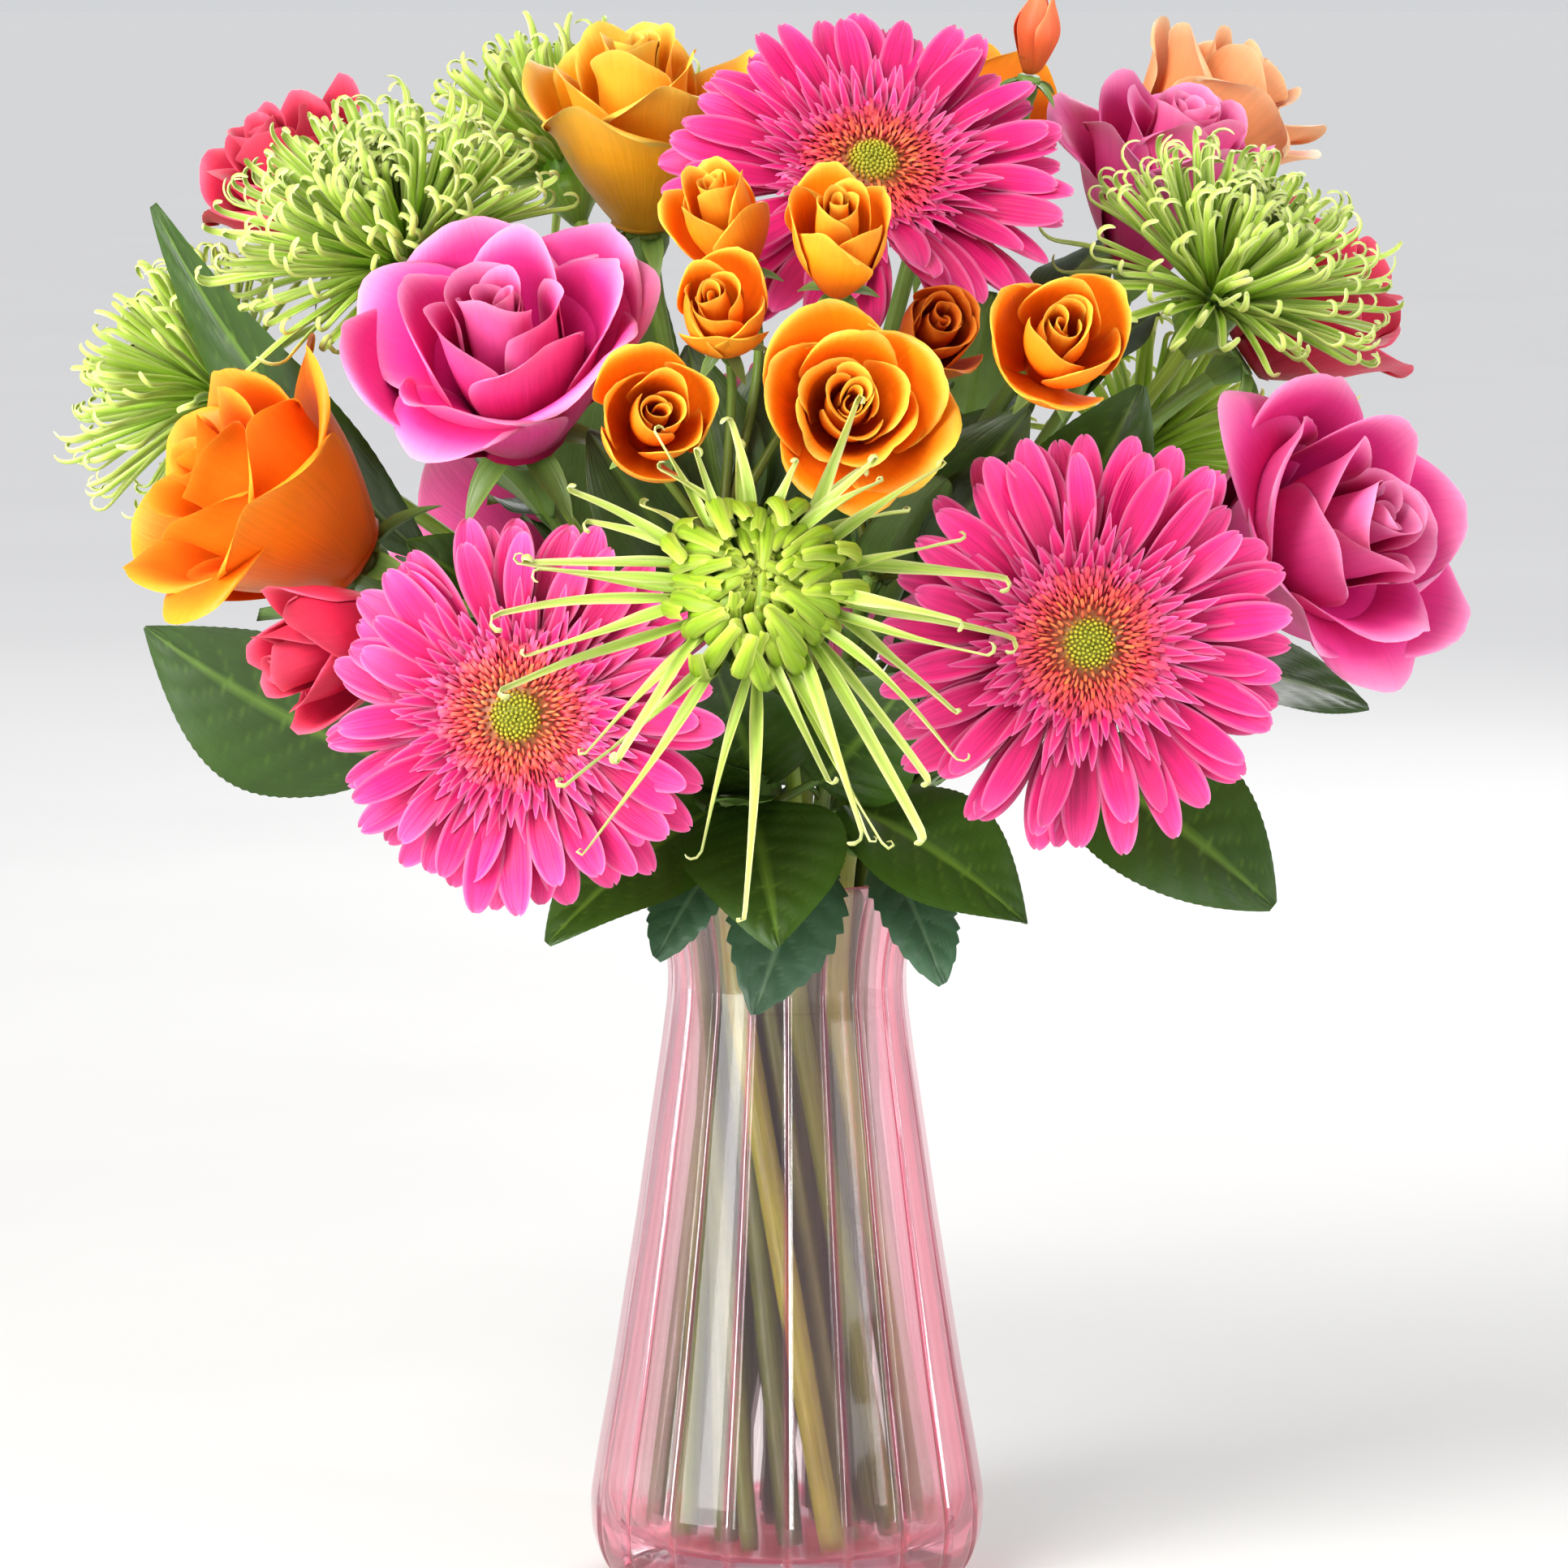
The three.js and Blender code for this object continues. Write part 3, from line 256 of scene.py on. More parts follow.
def plan(rows, cols):  # the faces of a thin closed sheet and where each of its points lies
    if (rows, cols) not in plans:
        top = np.arange(rows * cols).reshape(rows, cols)
        low = top.copy()
        low[1:-1, 1:-1] = rows * cols + np.arange((rows - 2) * (cols - 2)).reshape(rows - 2, cols - 2)
        faces = np.concatenate([quads(top), quads(low)[:, ::-1]])
        v, u = np.meshgrid(np.linspace(0, 1, rows), np.linspace(-1, 1, cols), indexing="ij")
        both = lambda g: np.concatenate([g.ravel(), g[1:-1, 1:-1].ravel()])
        side = np.concatenate([np.ones(rows * cols), -np.ones((rows - 2) * (cols - 2))])
        edge = np.sqrt(np.clip(1 - u**4, 0, 1) * np.clip(1 - v**4, 0, 1))
        edge[0] = 0
        border = np.ones((rows, cols), bool)
        border[1:-1, 1:-1] = False
        rim = np.concatenate([border.ravel(), np.zeros((rows - 2) * (cols - 2), bool)])
        plans[rows, cols] = faces, both(u), both(v), side, edge, u, v, rim
    return plans[rows, cols]


def flat(rows, cols):  # u across from -1 to 1 and v along from 0 to 1, for each point of a sheet
    return plan(rows, cols)[5:7]


def quads(net):
    return np.stack([net[:-1, :-1], net[:-1, 1:], net[1:, 1:], net[1:, :-1]], -1).reshape(-1, 4)


class Piece:  # everything that goes into one mesh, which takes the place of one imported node
    def __init__(self, node, name=None):
        first, *rest = node.split("_")  # mum_front becomes mumFront
        self.name = name or first + "".join(word.capitalize() for word in rest)
        self.node, self.parts, self.count = node, [], 0

    def put(self, points, faces, tint, grain, rim=None):
        tint = np.broadcast_to(tint, points.shape)
        rim = np.zeros(len(points), bool) if rim is None else rim
        self.parts.append((points, faces + self.count, tint, grain, rim))
        self.count += len(points)

    def sheet(self, grid, thick, tone, number):  # a petal, floret or leaf, coloured by tone(u, v, side)
        rows, cols = grid.shape[:2]
        faces, u, v, side, edge, _, _, rim = plan(rows, cols)
        out = unit(np.cross(np.gradient(grid, axis=1), np.gradient(grid, axis=0)))
        lift = out * (thick / 2 * edge)[..., None]
        points = np.concatenate([(grid + lift).reshape(-1, 3), (grid - lift)[1:-1, 1:-1].reshape(-1, 3)])
        wide = np.linalg.norm(grid[rows // 2, -1] - grid[rows // 2, 0]) / 2
        long = np.linalg.norm(np.diff(grid[:, cols // 2], axis=0), axis=1).sum()
        grain = np.stack([u * wide, v * long, np.full_like(u, number * 7.3)], -1)
        self.put(points, faces, tone(u, v, side), grain, rim)

    def round(self, grid, tone, number=0.0):  # a closed body over rings of points
        rows, cols = grid.shape[:2]
        net = np.arange(rows * cols).reshape(rows, cols)
        wrapped = np.concatenate([net, net[:, :1]], 1)
        fan = [[0, i, i + 1, i + 2] for i in range(1, cols - 2, 2)]
        faces = np.concatenate([quads(wrapped), net[0][fan][:, ::-1], net[-1][fan]])
        v, a = np.meshgrid(np.linspace(0, 1, rows), np.arange(cols) / cols, indexing="ij")
        span = np.linalg.norm(grid[-1].mean(0) - grid[0].mean(0))
        girth = np.linalg.norm(grid - grid.mean(1, keepdims=True), axis=-1).mean() * 6.3
        grain = np.stack([a.ravel() * girth, v.ravel() * span, np.full(a.size, number * 7.3)], -1)
        self.put(grid.reshape(-1, 3), faces, tone(a.ravel(), v.ravel()), grain)

    def build(self, finish, slot):
        points, faces, tint, grain, rim = (np.concatenate([p[k] for p in self.parts]) for k in range(5))
        mesh = bpy.data.meshes.new(self.name)
        mesh.vertices.add(len(points))
        mesh.vertices.foreach_set("co", (points * mm).ravel())
        mesh.loops.add(faces.size)
        mesh.loops.foreach_set("vertex_index", faces.ravel().astype(np.int32))
        mesh.polygons.add(len(faces))
        mesh.polygons.foreach_set("loop_start", np.arange(0, faces.size, 4, dtype=np.int32))
        mesh.polygons.foreach_set("use_smooth", np.ones(len(faces), bool))
        mesh.update(calc_edges=True)
        ends = np.zeros(len(mesh.edges) * 2, np.int32)
        mesh.edges.foreach_get("vertices", ends)
        crease = mesh.attributes.new("sharp_edge", "BOOLEAN", "EDGE")  # a sheet's two faces meet in a crease
        crease.data.foreach_set("value", rim[ends.reshape(-1, 2)].all(1))
        tones = mesh.color_attributes.new("tint", "FLOAT_COLOR", "POINT")
        tones.data.foreach_set("color", np.concatenate([tint, np.ones((len(tint), 1))], 1).ravel())
        mesh.attributes.new("grain", "FLOAT_VECTOR", "POINT").data.foreach_set("vector", grain.ravel())
        mesh.materials.append(finishes[finish])
        obj = bpy.data.objects.new(self.name, mesh)
        bpy.context.scene.collection.objects.link(obj)
        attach(obj, "root")
        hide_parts(self.node)
        obstacles[self.node] = room(points, faces.tolist())


# ---- keeping pieces clear of each other

obstacles = {}  # what has to stay clear, by node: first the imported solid, then the fine piece


def room(points, faces):
    return points.min(0), points.max(0), BVHTree.FromPolygons(points.tolist(), faces)


for node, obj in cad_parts.items():
    if node != "water":
        co = np.zeros(len(obj.data.vertices) * 3)
        obj.data.vertices.foreach_get("co", co)
        obstacles[node] = room(co.reshape(-1, 3) / mm, [tuple(p.vertices) for p in obj.data.polygons])


def touches(owner, grid):
    low, high = grid.min((0, 1)), grid.max((0, 1))
    near = [
        tree for node, (a, b, tree) in obstacles.items()
        if not node.startswith(owner) and (a < high).all() and (b > low).all()
    ]
    if not near:
        return False
    rows, cols = grid.shape[:2]
    net = np.arange(rows * cols).reshape(rows, cols)
    mine = BVHTree.FromPolygons(grid.reshape(-1, 3).tolist(), quads(net).tolist())
    return any(mine.overlap(tree) for tree in near)


def coarse(grid):  # every second row and column, and the last ones
    return grid[np.ix_(*(sorted({*range(0, n, 2), n - 1}) for n in grid.shape[:2]))]


def bentClear(owner, grid, ways=(1, -1), most=48, step=6, shortest=0.5):  # a sheet swung about its root
    few = coarse(grid)
    if not touches(owner, few):
        return grid
    root = grid[0].mean(0)
    hinge = unit(grid[1, 0] - grid[1, -1])
    for short in (s for s in (1, 0.88, 0.76, 0.62, 0.5) if s >= shortest):
        for angle in range(0 if short < 1 else step, most + 1, step):
            for way in ways if angle else (1,):
                swing = way * math.radians(angle)
                if not touches(owner, turned(root + (few - root) * short, root, hinge, swing)):
                    return turned(root + (grid - root) * short, root, hinge, swing)
    return None


class Head:  # a bloom's own frame: z along its facing, origin where it sits on its stem
    def __init__(self, at, faces, depth):
        a, e = (math.radians(x) for x in faces)
        z = np.array([math.sin(a) * math.cos(e), -math.cos(a) * math.cos(e), math.sin(e)])
        x = unit(np.cross((0, 0, 1), z))
        self.axes = np.stack([x, np.cross(z, x), z])
        self.origin = np.array(at) - depth * z

    def place(self, *local):
        return self.origin + np.stack(np.broadcast_arrays(*local), -1) @ self.axes


def ringed(path, radii, sides):  # rings of points round a path, each square to it
    ahead = unit(np.gradient(path, axis=0))
    side = np.array([1, 0.2, 0.1])
    a = np.linspace(0, 2 * math.pi, sides, endpoint=False)
    rows = []
    for p, t, r in zip(path, ahead, np.broadcast_to(radii, len(path))):
        side = unit(side - t * (side @ t))
        rows.append(p + r * (np.cos(a)[:, None] * side + np.sin(a)[:, None] * np.cross(t, side)))
    return np.array(rows)


def curve(p0, p1, p2, p3, count):  # a Bezier curve
    t = np.linspace(0, 1, count)[:, None]
    return (1 - t) ** 3 * p0 + 3 * t * (1 - t) ** 2 * p1 + 3 * t * t * (1 - t) * p2 + t**3 * p3


# ---- the blooms: the middle of each head, its azimuth from the front and its elevation, and its size

def listed(keys, table):  # one dictionary for each row of a table; a short row leaves its last keys out
    return {name: dict(zip(keys, row)) for name, row in table.items()}


gerberas = listed(("at", "faces", "radius"), {
    "gerbera_top": ((21, -38, 361), (6, 40), 52),
    "gerbera_left": ((-64, -106, 232), (-8, 3), 49),
    "gerbera_right": ((71, -106, 249), (7, 3), 52),
    "gerbera_back": ((4, 96, 262), (180, 10), 49),
})
mums = listed(("at", "faces", "radius", "florets"), {
    "mum_front": ((-7, -146, 269), (0, 20), 60, 0),  # the one with a skirt and a core instead of an even fan
    "mum_upper_left": ((-98, -10, 341), (-30, 55), 50, 320),
    "mum_right": ((109, -18, 332), (48, 56), 46, 300),
    "mum_far_left": ((-150, 40, 302), (-108, 28), 44, 250),
    "mum_top_back": ((-59, 60, 363), (-150, 62), 44, 250),
    "mum_back": ((96, 78, 282), (138, 18), 44, 250),
})
roses = listed(("at", "faces", "radius", "height", "kind", "shelves"), {
    "rose_pink_left": ((-67, -62, 312), (-8, 46), 40, 50, "pink", (-1.95, 2.7, 0.5)),
    "rose_pink_right": ((128, -46, 270), (44, 16), 40, 54, "pink", (-1.4, 2.3)),
    "rose_pink_top": ((96, 34, 353), (40, 64), 31, 46, "pink"),
    "rose_pink_back": ((-74, 88, 250), (-140, 14), 36, 46, "pink", (-1,)),
    "rose_orange_left": ((-126, -44, 277), (-66, 33), 39, 53, "orange", (-1.2,)),
    "rose_orange_top": ((-37, 14, 366), (-14, 72), 31, 50, "amber"),
    "rose_orange_back": ((40, 58, 362), (150, 60), 34, 48, "orange"),
    "rose_peach": ((110, 84, 367), (92, 52), 29, 44, "peach"),
    "rose_hot_left": ((-124, 48, 351), (-62, 52), 30, 42, "hot"),
    "rose_hot_right": ((134, 40, 320), (84, 34), 30, 42, "hot"),
    "rose_hot_low": ((-108, -74, 245), (-60, -16), 20, 36, "hot"),
})
sprayHead = "at", "faces", "radius", "height", "open", "kind"
sprays = {  # where the stem forks, its blooms, and the base, tip, upward side and width of its leaves
    "spray_left": {
        "fork": (-16, -70, 262),
        "heads": listed(sprayHead, {
            "spray_rose_1": ((-15, -74, 346), (-24, 50), 15, 28),
            "spray_rose_2": ((12, -92, 342), (0, 40), 17, 32),
            "spray_rose_3": ((-16, -92, 325), (-6, 28), 17, 27),
            "spray_rose_4": ((-31, -100, 301), (8, 16), 19, 27),
        }),
        "leaves": [
            ((-14, -56, 270), (-24, -50, 316), (0, -1, 0.3), 26),
            ((-8, -52, 274), (4, -48, 322), (0, -1, 0.3), 26),
            ((-24, -56, 262), (-48, -62, 296), (0, -1, 0.3), 26),
        ],
    },
    "spray_right": {
        "fork": (20, -70, 262),
        "heads": listed(sprayHead, {
            "spray_rose_5": ((14, -102, 304), (6, 14), 27, 29, 1.2),
            "spray_rose_6": ((35, -66, 320), (14, 20), 17, 26, 1.0, "rust"),
            "spray_rose_7": ((63, -98, 319), (6, 24), 21, 29),
            "spray_bud": ((62, 14, 391), (30, 76), 7.5, 22, 1.0, "bud"),
        }),
        "leaves": [
            ((24, -56, 270), (32, -46, 318), (0, -1, 0.3), 26),
            ((32, -58, 264), (60, -60, 302), (0, -1, 0.3), 28),
            ((16, -58, 268), (12, -54, 304), (0, -1, 0.3), 24),
            ((34, -64, 262), (52, -84, 292), (0, -1, 0.3), 22),
        ],
    },
}
sprigs = {
    "leaves_left": {"fork": (-84, -30, 232), "leaves": [
        ((-98, -42, 214), (-156, -56, 246), (-0.2, -0.9, -0.3), 44),
        ((-66, -26, 242), (-104, -62, 276), (0.2, -0.8, 0.5), 36),
        ((-92, 0, 262), (-158, 4, 348), (-0.7, -0.5, 0.3), 30),
    ]},
    "leaves_front": {"fork": (-10, -36, 199), "leaves": [
        ((-9, -45, 203), (-2, -84, 174), (0, -0.75, 0.65), 42),
        ((-16, -44, 203), (-58, -66, 172), (-0.2, -0.7, 0.7), 36),
        ((14, -42, 203), (58, -60, 176), (0.2, -0.7, 0.7), 36),
        ((-6, -42, 208), (-20, -66, 248), (-0.1, -0.95, 0.3), 34),
        ((8, -40, 208), (34, -62, 242), (0.2, -0.95, 0.3), 34),
        ((6, -38, 190), (-8, -62, 154), (-0.1, -0.9, 0.4), 30, True),  # toothed, as the next two
        ((24, -34, 190), (38, -52, 160), (0.4, -0.8, 0.4), 24, True),
        ((-16, -34, 190), (-32, -50, 166), (-0.4, -0.8, 0.4), 22, True),
    ]},
    "leaves_right": {"fork": (62, -30, 226), "leaves": [
        ((70, -40, 214), (118, -58, 180), (0.2, -0.85, 0.45), 44),
        ((60, -52, 250), (84, -78, 308), (0, -0.9, 0.4), 38),
        ((84, -12, 232), (146, 2, 222), (0.5, -0.3, 0.8), 40),
    ]},
    "leaves_back_left": {"fork": (-52, 40, 216), "leaves": [
        ((-58, 44, 206), (-122, 66, 214), (-0.3, 0.5, 0.8), 42),
        ((-40, 52, 204), (-48, 112, 186), (0, 0.5, 0.85), 42),
        ((-64, 20, 226), (-134, 16, 244), (-0.6, 0.1, 0.8), 40),
        ((-50, 48, 246), (-40, 92, 322), (0, 0.9, 0.4), 38),
    ]},
    "leaves_back_right": {"fork": (28, 46, 210), "leaves": [
        ((52, 42, 205), (112, 62, 216), (0.3, 0.5, 0.8), 42),
        ((34, 52, 202), (40, 114, 188), (0, 0.5, 0.85), 42),
        ((40, 56, 244), (52, 98, 318), (0, 0.9, 0.4), 36),
    ]},
}


def leafOf(base, tip, up, width, toothed=False):
    return {"base": np.array(base, float), "tip": np.array(tip, float), "up": up, "width": width,
            "toothed": toothed}


# depth: how far a head's frame lies behind its middle; stemDepth: how far behind it the stem ends
for g in gerberas.values():
    g.update(depth=6, stemDepth=13)
for m in mums.values():
    m.update(depth=m["radius"] * 0.32, stemDepth=m["radius"] * 0.32 - 3)
for r in [*roses.values(), *(h for s in sprays.values() for h in s["heads"].values())]:
    r.update(depth=r["height"] * 0.5, stemDepth=r["height"] * 0.5 + 7)


def headOf(spec):
    return Head(spec["at"], spec["faces"], spec["depth"])


# ---- stems: one twisted bundle, each stem on its own side of the neck

bundleSizes = {
    "neckHeight": 153, "neckRadius": 22.5, "rimHeight": 186, "rimRadius": 28,
    "footHeight": 14.6, "footRadius": 37, "twist": 0.9, "spacing": 7.4, "widestLean": 78, "rounds": 300,
}
stemRadius = {"gerbera": 2.15, "mum": 1.95, "rose": 2.2, "spray": 2.05, "branch": 1.2, "leaves": 1.55}


def stemEnds():
    ends = {}
    for name, h in {**gerberas, **mums, **roses}.items():
        deep = Head(h["at"], h["faces"], h["stemDepth"])
        ends[name] = deep.origin, deep.axes[2]
    for name, s in {**sprays, **sprigs}.items():
        ends[name] = np.array(s["fork"], float), None
    return ends


def bundle(ends):
    b = bundleSizes
    spots = []
    for top, _ in ends.values():
        out = top - (0, 0, b["neckHeight"] + 20)
        lean = math.atan2(math.hypot(out[0], out[1]), out[2])
        spots.append(unit(out[:2]) * b["neckRadius"] * min(1, lean / math.radians(b["widestLean"])))
    for _ in range(b["rounds"]):
        for i in range(len(spots)):
            for j in range(i):
                between = spots[i] - spots[j]
                apart = math.hypot(*between)
                if apart < b["spacing"]:
                    push = between / apart * (b["spacing"] - apart) / 2
                    spots[i] = spots[i] + push
                    spots[j] = spots[j] - push
            if math.hypot(*spots[i]) > b["neckRadius"]:
                spots[i] = unit(spots[i]) * b["neckRadius"]
    return spots


def stemPaths():
    b, ends = bundleSizes, stemEnds()
    c, s = math.cos(b["twist"]), math.sin(b["twist"])
    paths = {}
    for (name, (top, facing)), (x, y) in zip(ends.items(), bundle(ends)):
        grow = b["footRadius"] / b["neckRadius"]
        foot = np.array([(x * c - y * s) * grow, (x * s + y * c) * grow, b["footHeight"]])
        neck = np.array([x, y, b["neckHeight"]])
        rim = np.array([*(q * b["rimRadius"] / b["neckRadius"] for q in (x, y)), b["rimHeight"]])
        pull = 0.3 * np.linalg.norm(top - rim)
        back = top if facing is None else top - facing * pull
        low = np.linspace(foot, neck, 24, endpoint=False)
        mid = np.linspace(neck, rim, 6, endpoint=False)
        path = np.concatenate([low, mid, curve(rim, rim + unit(rim - neck) * pull, back, top, 26)])
        for _ in range(3):
            path[1:-1] = path[:-2] * 0.25 + path[1:-1] * 0.5 + path[2:] * 0.25
        paths[name] = path
    return paths


paths = stemPaths()

# each family's first green is painted shade: the stems are darker and more olive below, inside the vase,
# standing in for the pink glass and water in front of them
greens = {
    "gerbera": ("#868a0e", "#a4b84c"), "mum": ("#5f6c08", "#96b442"), "rose": ("#4a5606", "#76993a"),
    "spray": ("#58640a", "#7ea23c"), "leaves": ("#525c0c", "#567a2c"),
}


def stemTone(family):
    low, high = greens[family]
    return lambda a, v: ramp(v, (0, low), (0.35, low), (0.8, high), (1, high))


inVase = {"stouter": 1.5, "span": (140, 215), "foot": 0.96, "joint": 1.08}  # stems swell below these heights


def putStem(piece, name):
    family = name.split("_")[0]
    path = paths[name]
    radii = stemRadius[family] * mix(inVase["stouter"], 1.0, smooth(path[:, 2], *inVase["span"]))
    radii[0] *= inVase["foot"]
    if family in ("rose", "spray"):  # a slight joint where a leaf was taken off
        radii[9:len(path) - 6:11] *= inVase["joint"]
    piece.round(ringed(path, radii, 12), stemTone(family), len(piece.parts))


def putStalk(piece, path, thick, thin, sides, number):
    piece.round(ringed(path, np.linspace(thick, thin, len(path)), sides), stemTone("leaves"), number)


foliage = {  # leaves on short stalks that fill the inside of the bouquet: where on the stem and how big
    "count": 4, "points": (32, 50), "long": (30, 44), "wide": (0.5, 0.62), "stalk": 6, "bright": (0.8, 1.3),
}


def putFoliage(piece, name, rng):
    path, f = paths[name], foliage
    for k in range(f["count"]):
        at = path[int(mix(*f["points"], (k + rng.random()) / f["count"]))]
        away = unit(np.array([at[0], at[1], 0]) + rng.normal(0, 16, 3) * (1, 1, 0))
        long = rng.uniform(*f["long"])
        base = at + away * f["stalk"] + (0, 0, 4)
        tip = base + (away * rng.uniform(0.5, 0.9) + (0, 0, rng.uniform(0.1, 0.7))) * long
        leaf = leafOf(base, tip, away * 0.2 + (0, 0, 1), long * rng.uniform(*f["wide"]))
        grid = bentClear(name, leafGrid(leaf, rng, 25, 11), (1, -1), 48, 8, 0.62)
        if grid is not None:
            along = tip - base
            stalk = curve(at, at + away * 2 + (0, 0, 1), base - along * 0.05, base + along * 0.06, 6)
            putStalk(piece, stalk, 1.0, 0.7, 6, k)
            piece.sheet(grid, 0.6, leafTone(False, rng.uniform(*f["bright"])), rng.random() * 30)


def lathed(profile, sides):  # x, y and z of the rings of a turned shape, from its radii and heights
    a = np.linspace(0, 2 * math.pi, sides, endpoint=False)
    r, z = np.array(profile, float).T
    return r[:, None] * np.cos(a), r[:, None] * np.sin(a), np.repeat(z[:, None], sides, 1)


def putCup(piece, head, profile, tone, sides=24):
    piece.round(head.place(*lathed(profile, sides)), tone)


def plain(*stops):  # a tone that only changes from root to tip or from foot to top
    return lambda a, v, side=None: ramp(v, *stops)


def aimed(head, turn, along, side, height):  # a blade that points away from the head's middle
    return head.place(
        along * np.cos(turn) - side * np.sin(turn), along * np.sin(turn) + side * np.cos(turn), height)


calyxLook = {
    "sepals": 5, "wide": 0.2, "narrowest": 3.2, "long": 2.2, "droop": (0.35, 0.6), "blade": 0.44,
    "green": ((0, "#7f9f45"), (0.5, "#6c9640"), (1, "#86ab4c")),
}


def putCalyx(piece, spec, rng):  # the green cup and sepals under a rose
    head, look = headOf(spec), calyxLook
    wide = max(look["narrowest"], spec["radius"] * look["wide"])
    long = wide * look["long"]
    profile = [
        (stemRadius["branch"] * 1.2, -11.5), (0.32 * wide + 0.8, -9.5), (0.62 * wide, -7.6),
        (0.82 * wide, -5), (0.86 * wide, -2.8), (0.98 * wide, -1.5), (0.86 * wide, -0.5), (0.3 * wide, -0.4),
    ]
    putCup(piece, head, profile, plain(*look["green"]))
    u, v = flat(10, 5)
    for k in range(look["sepals"]):
        turn = 2 * math.pi * (k + 0.3 * rng.random()) / look["sepals"]
        droop = mix(*look["droop"], rng.random())
        half = look["blade"] * wide * np.sin(np.pi * np.clip(mix(0.32, 1.0, v), 0, 0.995)) ** 0.9 + 0.1
        along = 0.78 * wide + (0.22 * wide + long) * v * (1 - 0.1 * v)
        height = -2.2 - 0.8 * v - droop * long * v**2 + 0.5 * half * u * u
        grid = aimed(head, turn, along, half * u, height)
        piece.sheet(grid, 0.6, sepalTone, k)


def sepalTone(u, v, side):
    return ramp(v, (0, "#6a943e"), (1, "#94b85c")) * (0.9 + 0.1 * side)[:, None]


# ---- gerbera

gerberaLook = {
    # rows of rays: how many, their kind, how far short of the head's radius the long ones end or how far the
    # short ones reach, then their width, rise, height, start and first turn
    "rays": [
        (23, "long", 16.2, 9.6, 0.2, -4.2, 15, 0), (22, "long", 17.6, 9.2, 0.25, -2.6, 15, 0.13),
        (19, "long", 21.0, 8.0, 0.32, -1.2, 15, 0.26), (40, "short", 17.5, 3.4, 0.45, -0.6, 15.0, 0),
        (42, "short", 12.5, 2.8, 0.66, 0.2, 15.2, 0), (40, "short", 8.5, 2.3, 0.95, 0.6, 14.8, 0),
    ],
    # how far single rays stray from their row, then their brightness, net and thickness
    "long": {"turn": 0.24, "reach": (0.9, 1.04), "width": (0.84, 1.1), "rise": (-0.06, 0.08),
             "bright": (0.84, 1.1), "net": (16, 9), "thick": 0.75},
    "short": {"turn": 0.35, "reach": (0.7, 1.12), "width": (0.8, 1.2), "rise": (-0.12, 0.2),
              "bright": (0.75, 0.98), "net": (8, 5), "thick": 0.6},
    "groove": 0.36, "curls": 560, "buds": 110, "eye": 6.0, "discRadius": 18.6, "budSize": 0.54,
}


def rayGrid(head, turn, start, reach, width, rise, lift, rng, rows, cols, pointed):
    u, v = flat(rows, cols)
    w = mix(v, np.sin(v * np.pi / 2), 0.75)
    if pointed:
        half = width / 2 * np.sin(np.pi * mix(0.12, 0.98, w) ** 0.8) ** 0.8
    else:
        tip = np.clip((w - 0.62) / 0.385, 0, 1)
        half = width / 2 * mix(0.38, 1, smooth(w, 0, 0.62)) * np.sqrt(1 - tip**2.2)
    notch = rng.choice([0, 0.5, 0.9]) * hump(u + rng.uniform(-0.3, 0.3), 0.25) * w**12
    long = reach * w - (0 if pointed else notch)
    sag = rng.uniform(0.08, 0.32)
    ridges = -0.3 * hump(np.abs(u) - gerberaLook["groove"], 0.14) * (0 if pointed else 1) * smooth(w, 0, 0.2)
    cup = width * rng.uniform(0.02, 0.14) * u * u
    height = lift + reach * (rise * w - sag * w * w) + cup + ridges
    roll = rng.uniform(-0.45, 0.45) * w  # a twist along the petal
    side = half * u * np.cos(roll)
    height = height + half * u * np.sin(roll)
    return aimed(head, turn + rng.uniform(-0.07, 0.07) * w**1.5, start + long, side, height)


def gerberaTone(bright):
    def tone(u, v, side):
        face = ramp(v, (0, "#9c0040"), (0.3, "#d80f66"), (0.6, "#f42480"), (0.88, "#ff4c9c"), (1, "#ff76b4"))
        # painted shade: the face darkens along the sunken grooves of each ray, most near the root
        groove = hump(np.abs(u) - gerberaLook["groove"], 0.16) * (0.3 + 0.5 * (1 - v))
        back = ramp(v, (0, "#c2507a"), (1, "#fb7fb4"))
        face = face * (1 - 0.3 * groove)[:, None] * bright
        return np.where(side[:, None] < 0, face, back)  # a ray's inner face is the low side of its sheet
    return tone


def makeGerbera(name, g, rng):
    head = headOf(g)
    piece = Piece(name + "_petals")
    for count, kind, far, width, rise, lift, start, first in gerberaLook["rays"]:
        look = gerberaLook[kind]
        reach = g["radius"] - far if kind == "long" else far
        for k in range(count):
            turn = 2 * math.pi * (k + rng.uniform(-look["turn"], look["turn"])) / count + first
            grid = rayGrid(
                head, turn, start, reach * rng.uniform(*look["reach"]), width * rng.uniform(*look["width"]),
                rise + rng.uniform(*look["rise"]), lift, rng, *look["net"], kind == "short")
            grid = bentClear(name, grid, (1, -1) if rise > 0.22 else (-1, 1))
            if grid is not None:
                tone = gerberaTone(rng.uniform(*look["bright"]))
                piece.sheet(grid, look["thick"], tone, rng.random() * 50)
    putCup(piece, head, [(3, -4.5), (15, -4.5), (17.5, -2.5), (17, -0.6), (6, -0.6)], plain((0, "#a81450")))
    piece.build("gerbera", "gerbera_pink")


curlTones = (0, "#f0803c"), (0.2, "#f4583c"), (0.55, "#f8485a"), (0.8, "#fa4c86"), (1, "#ff70b0")
budTones = (0, "#b4b62c"), (0.6, "#d0c634"), (1, "#c8782c")


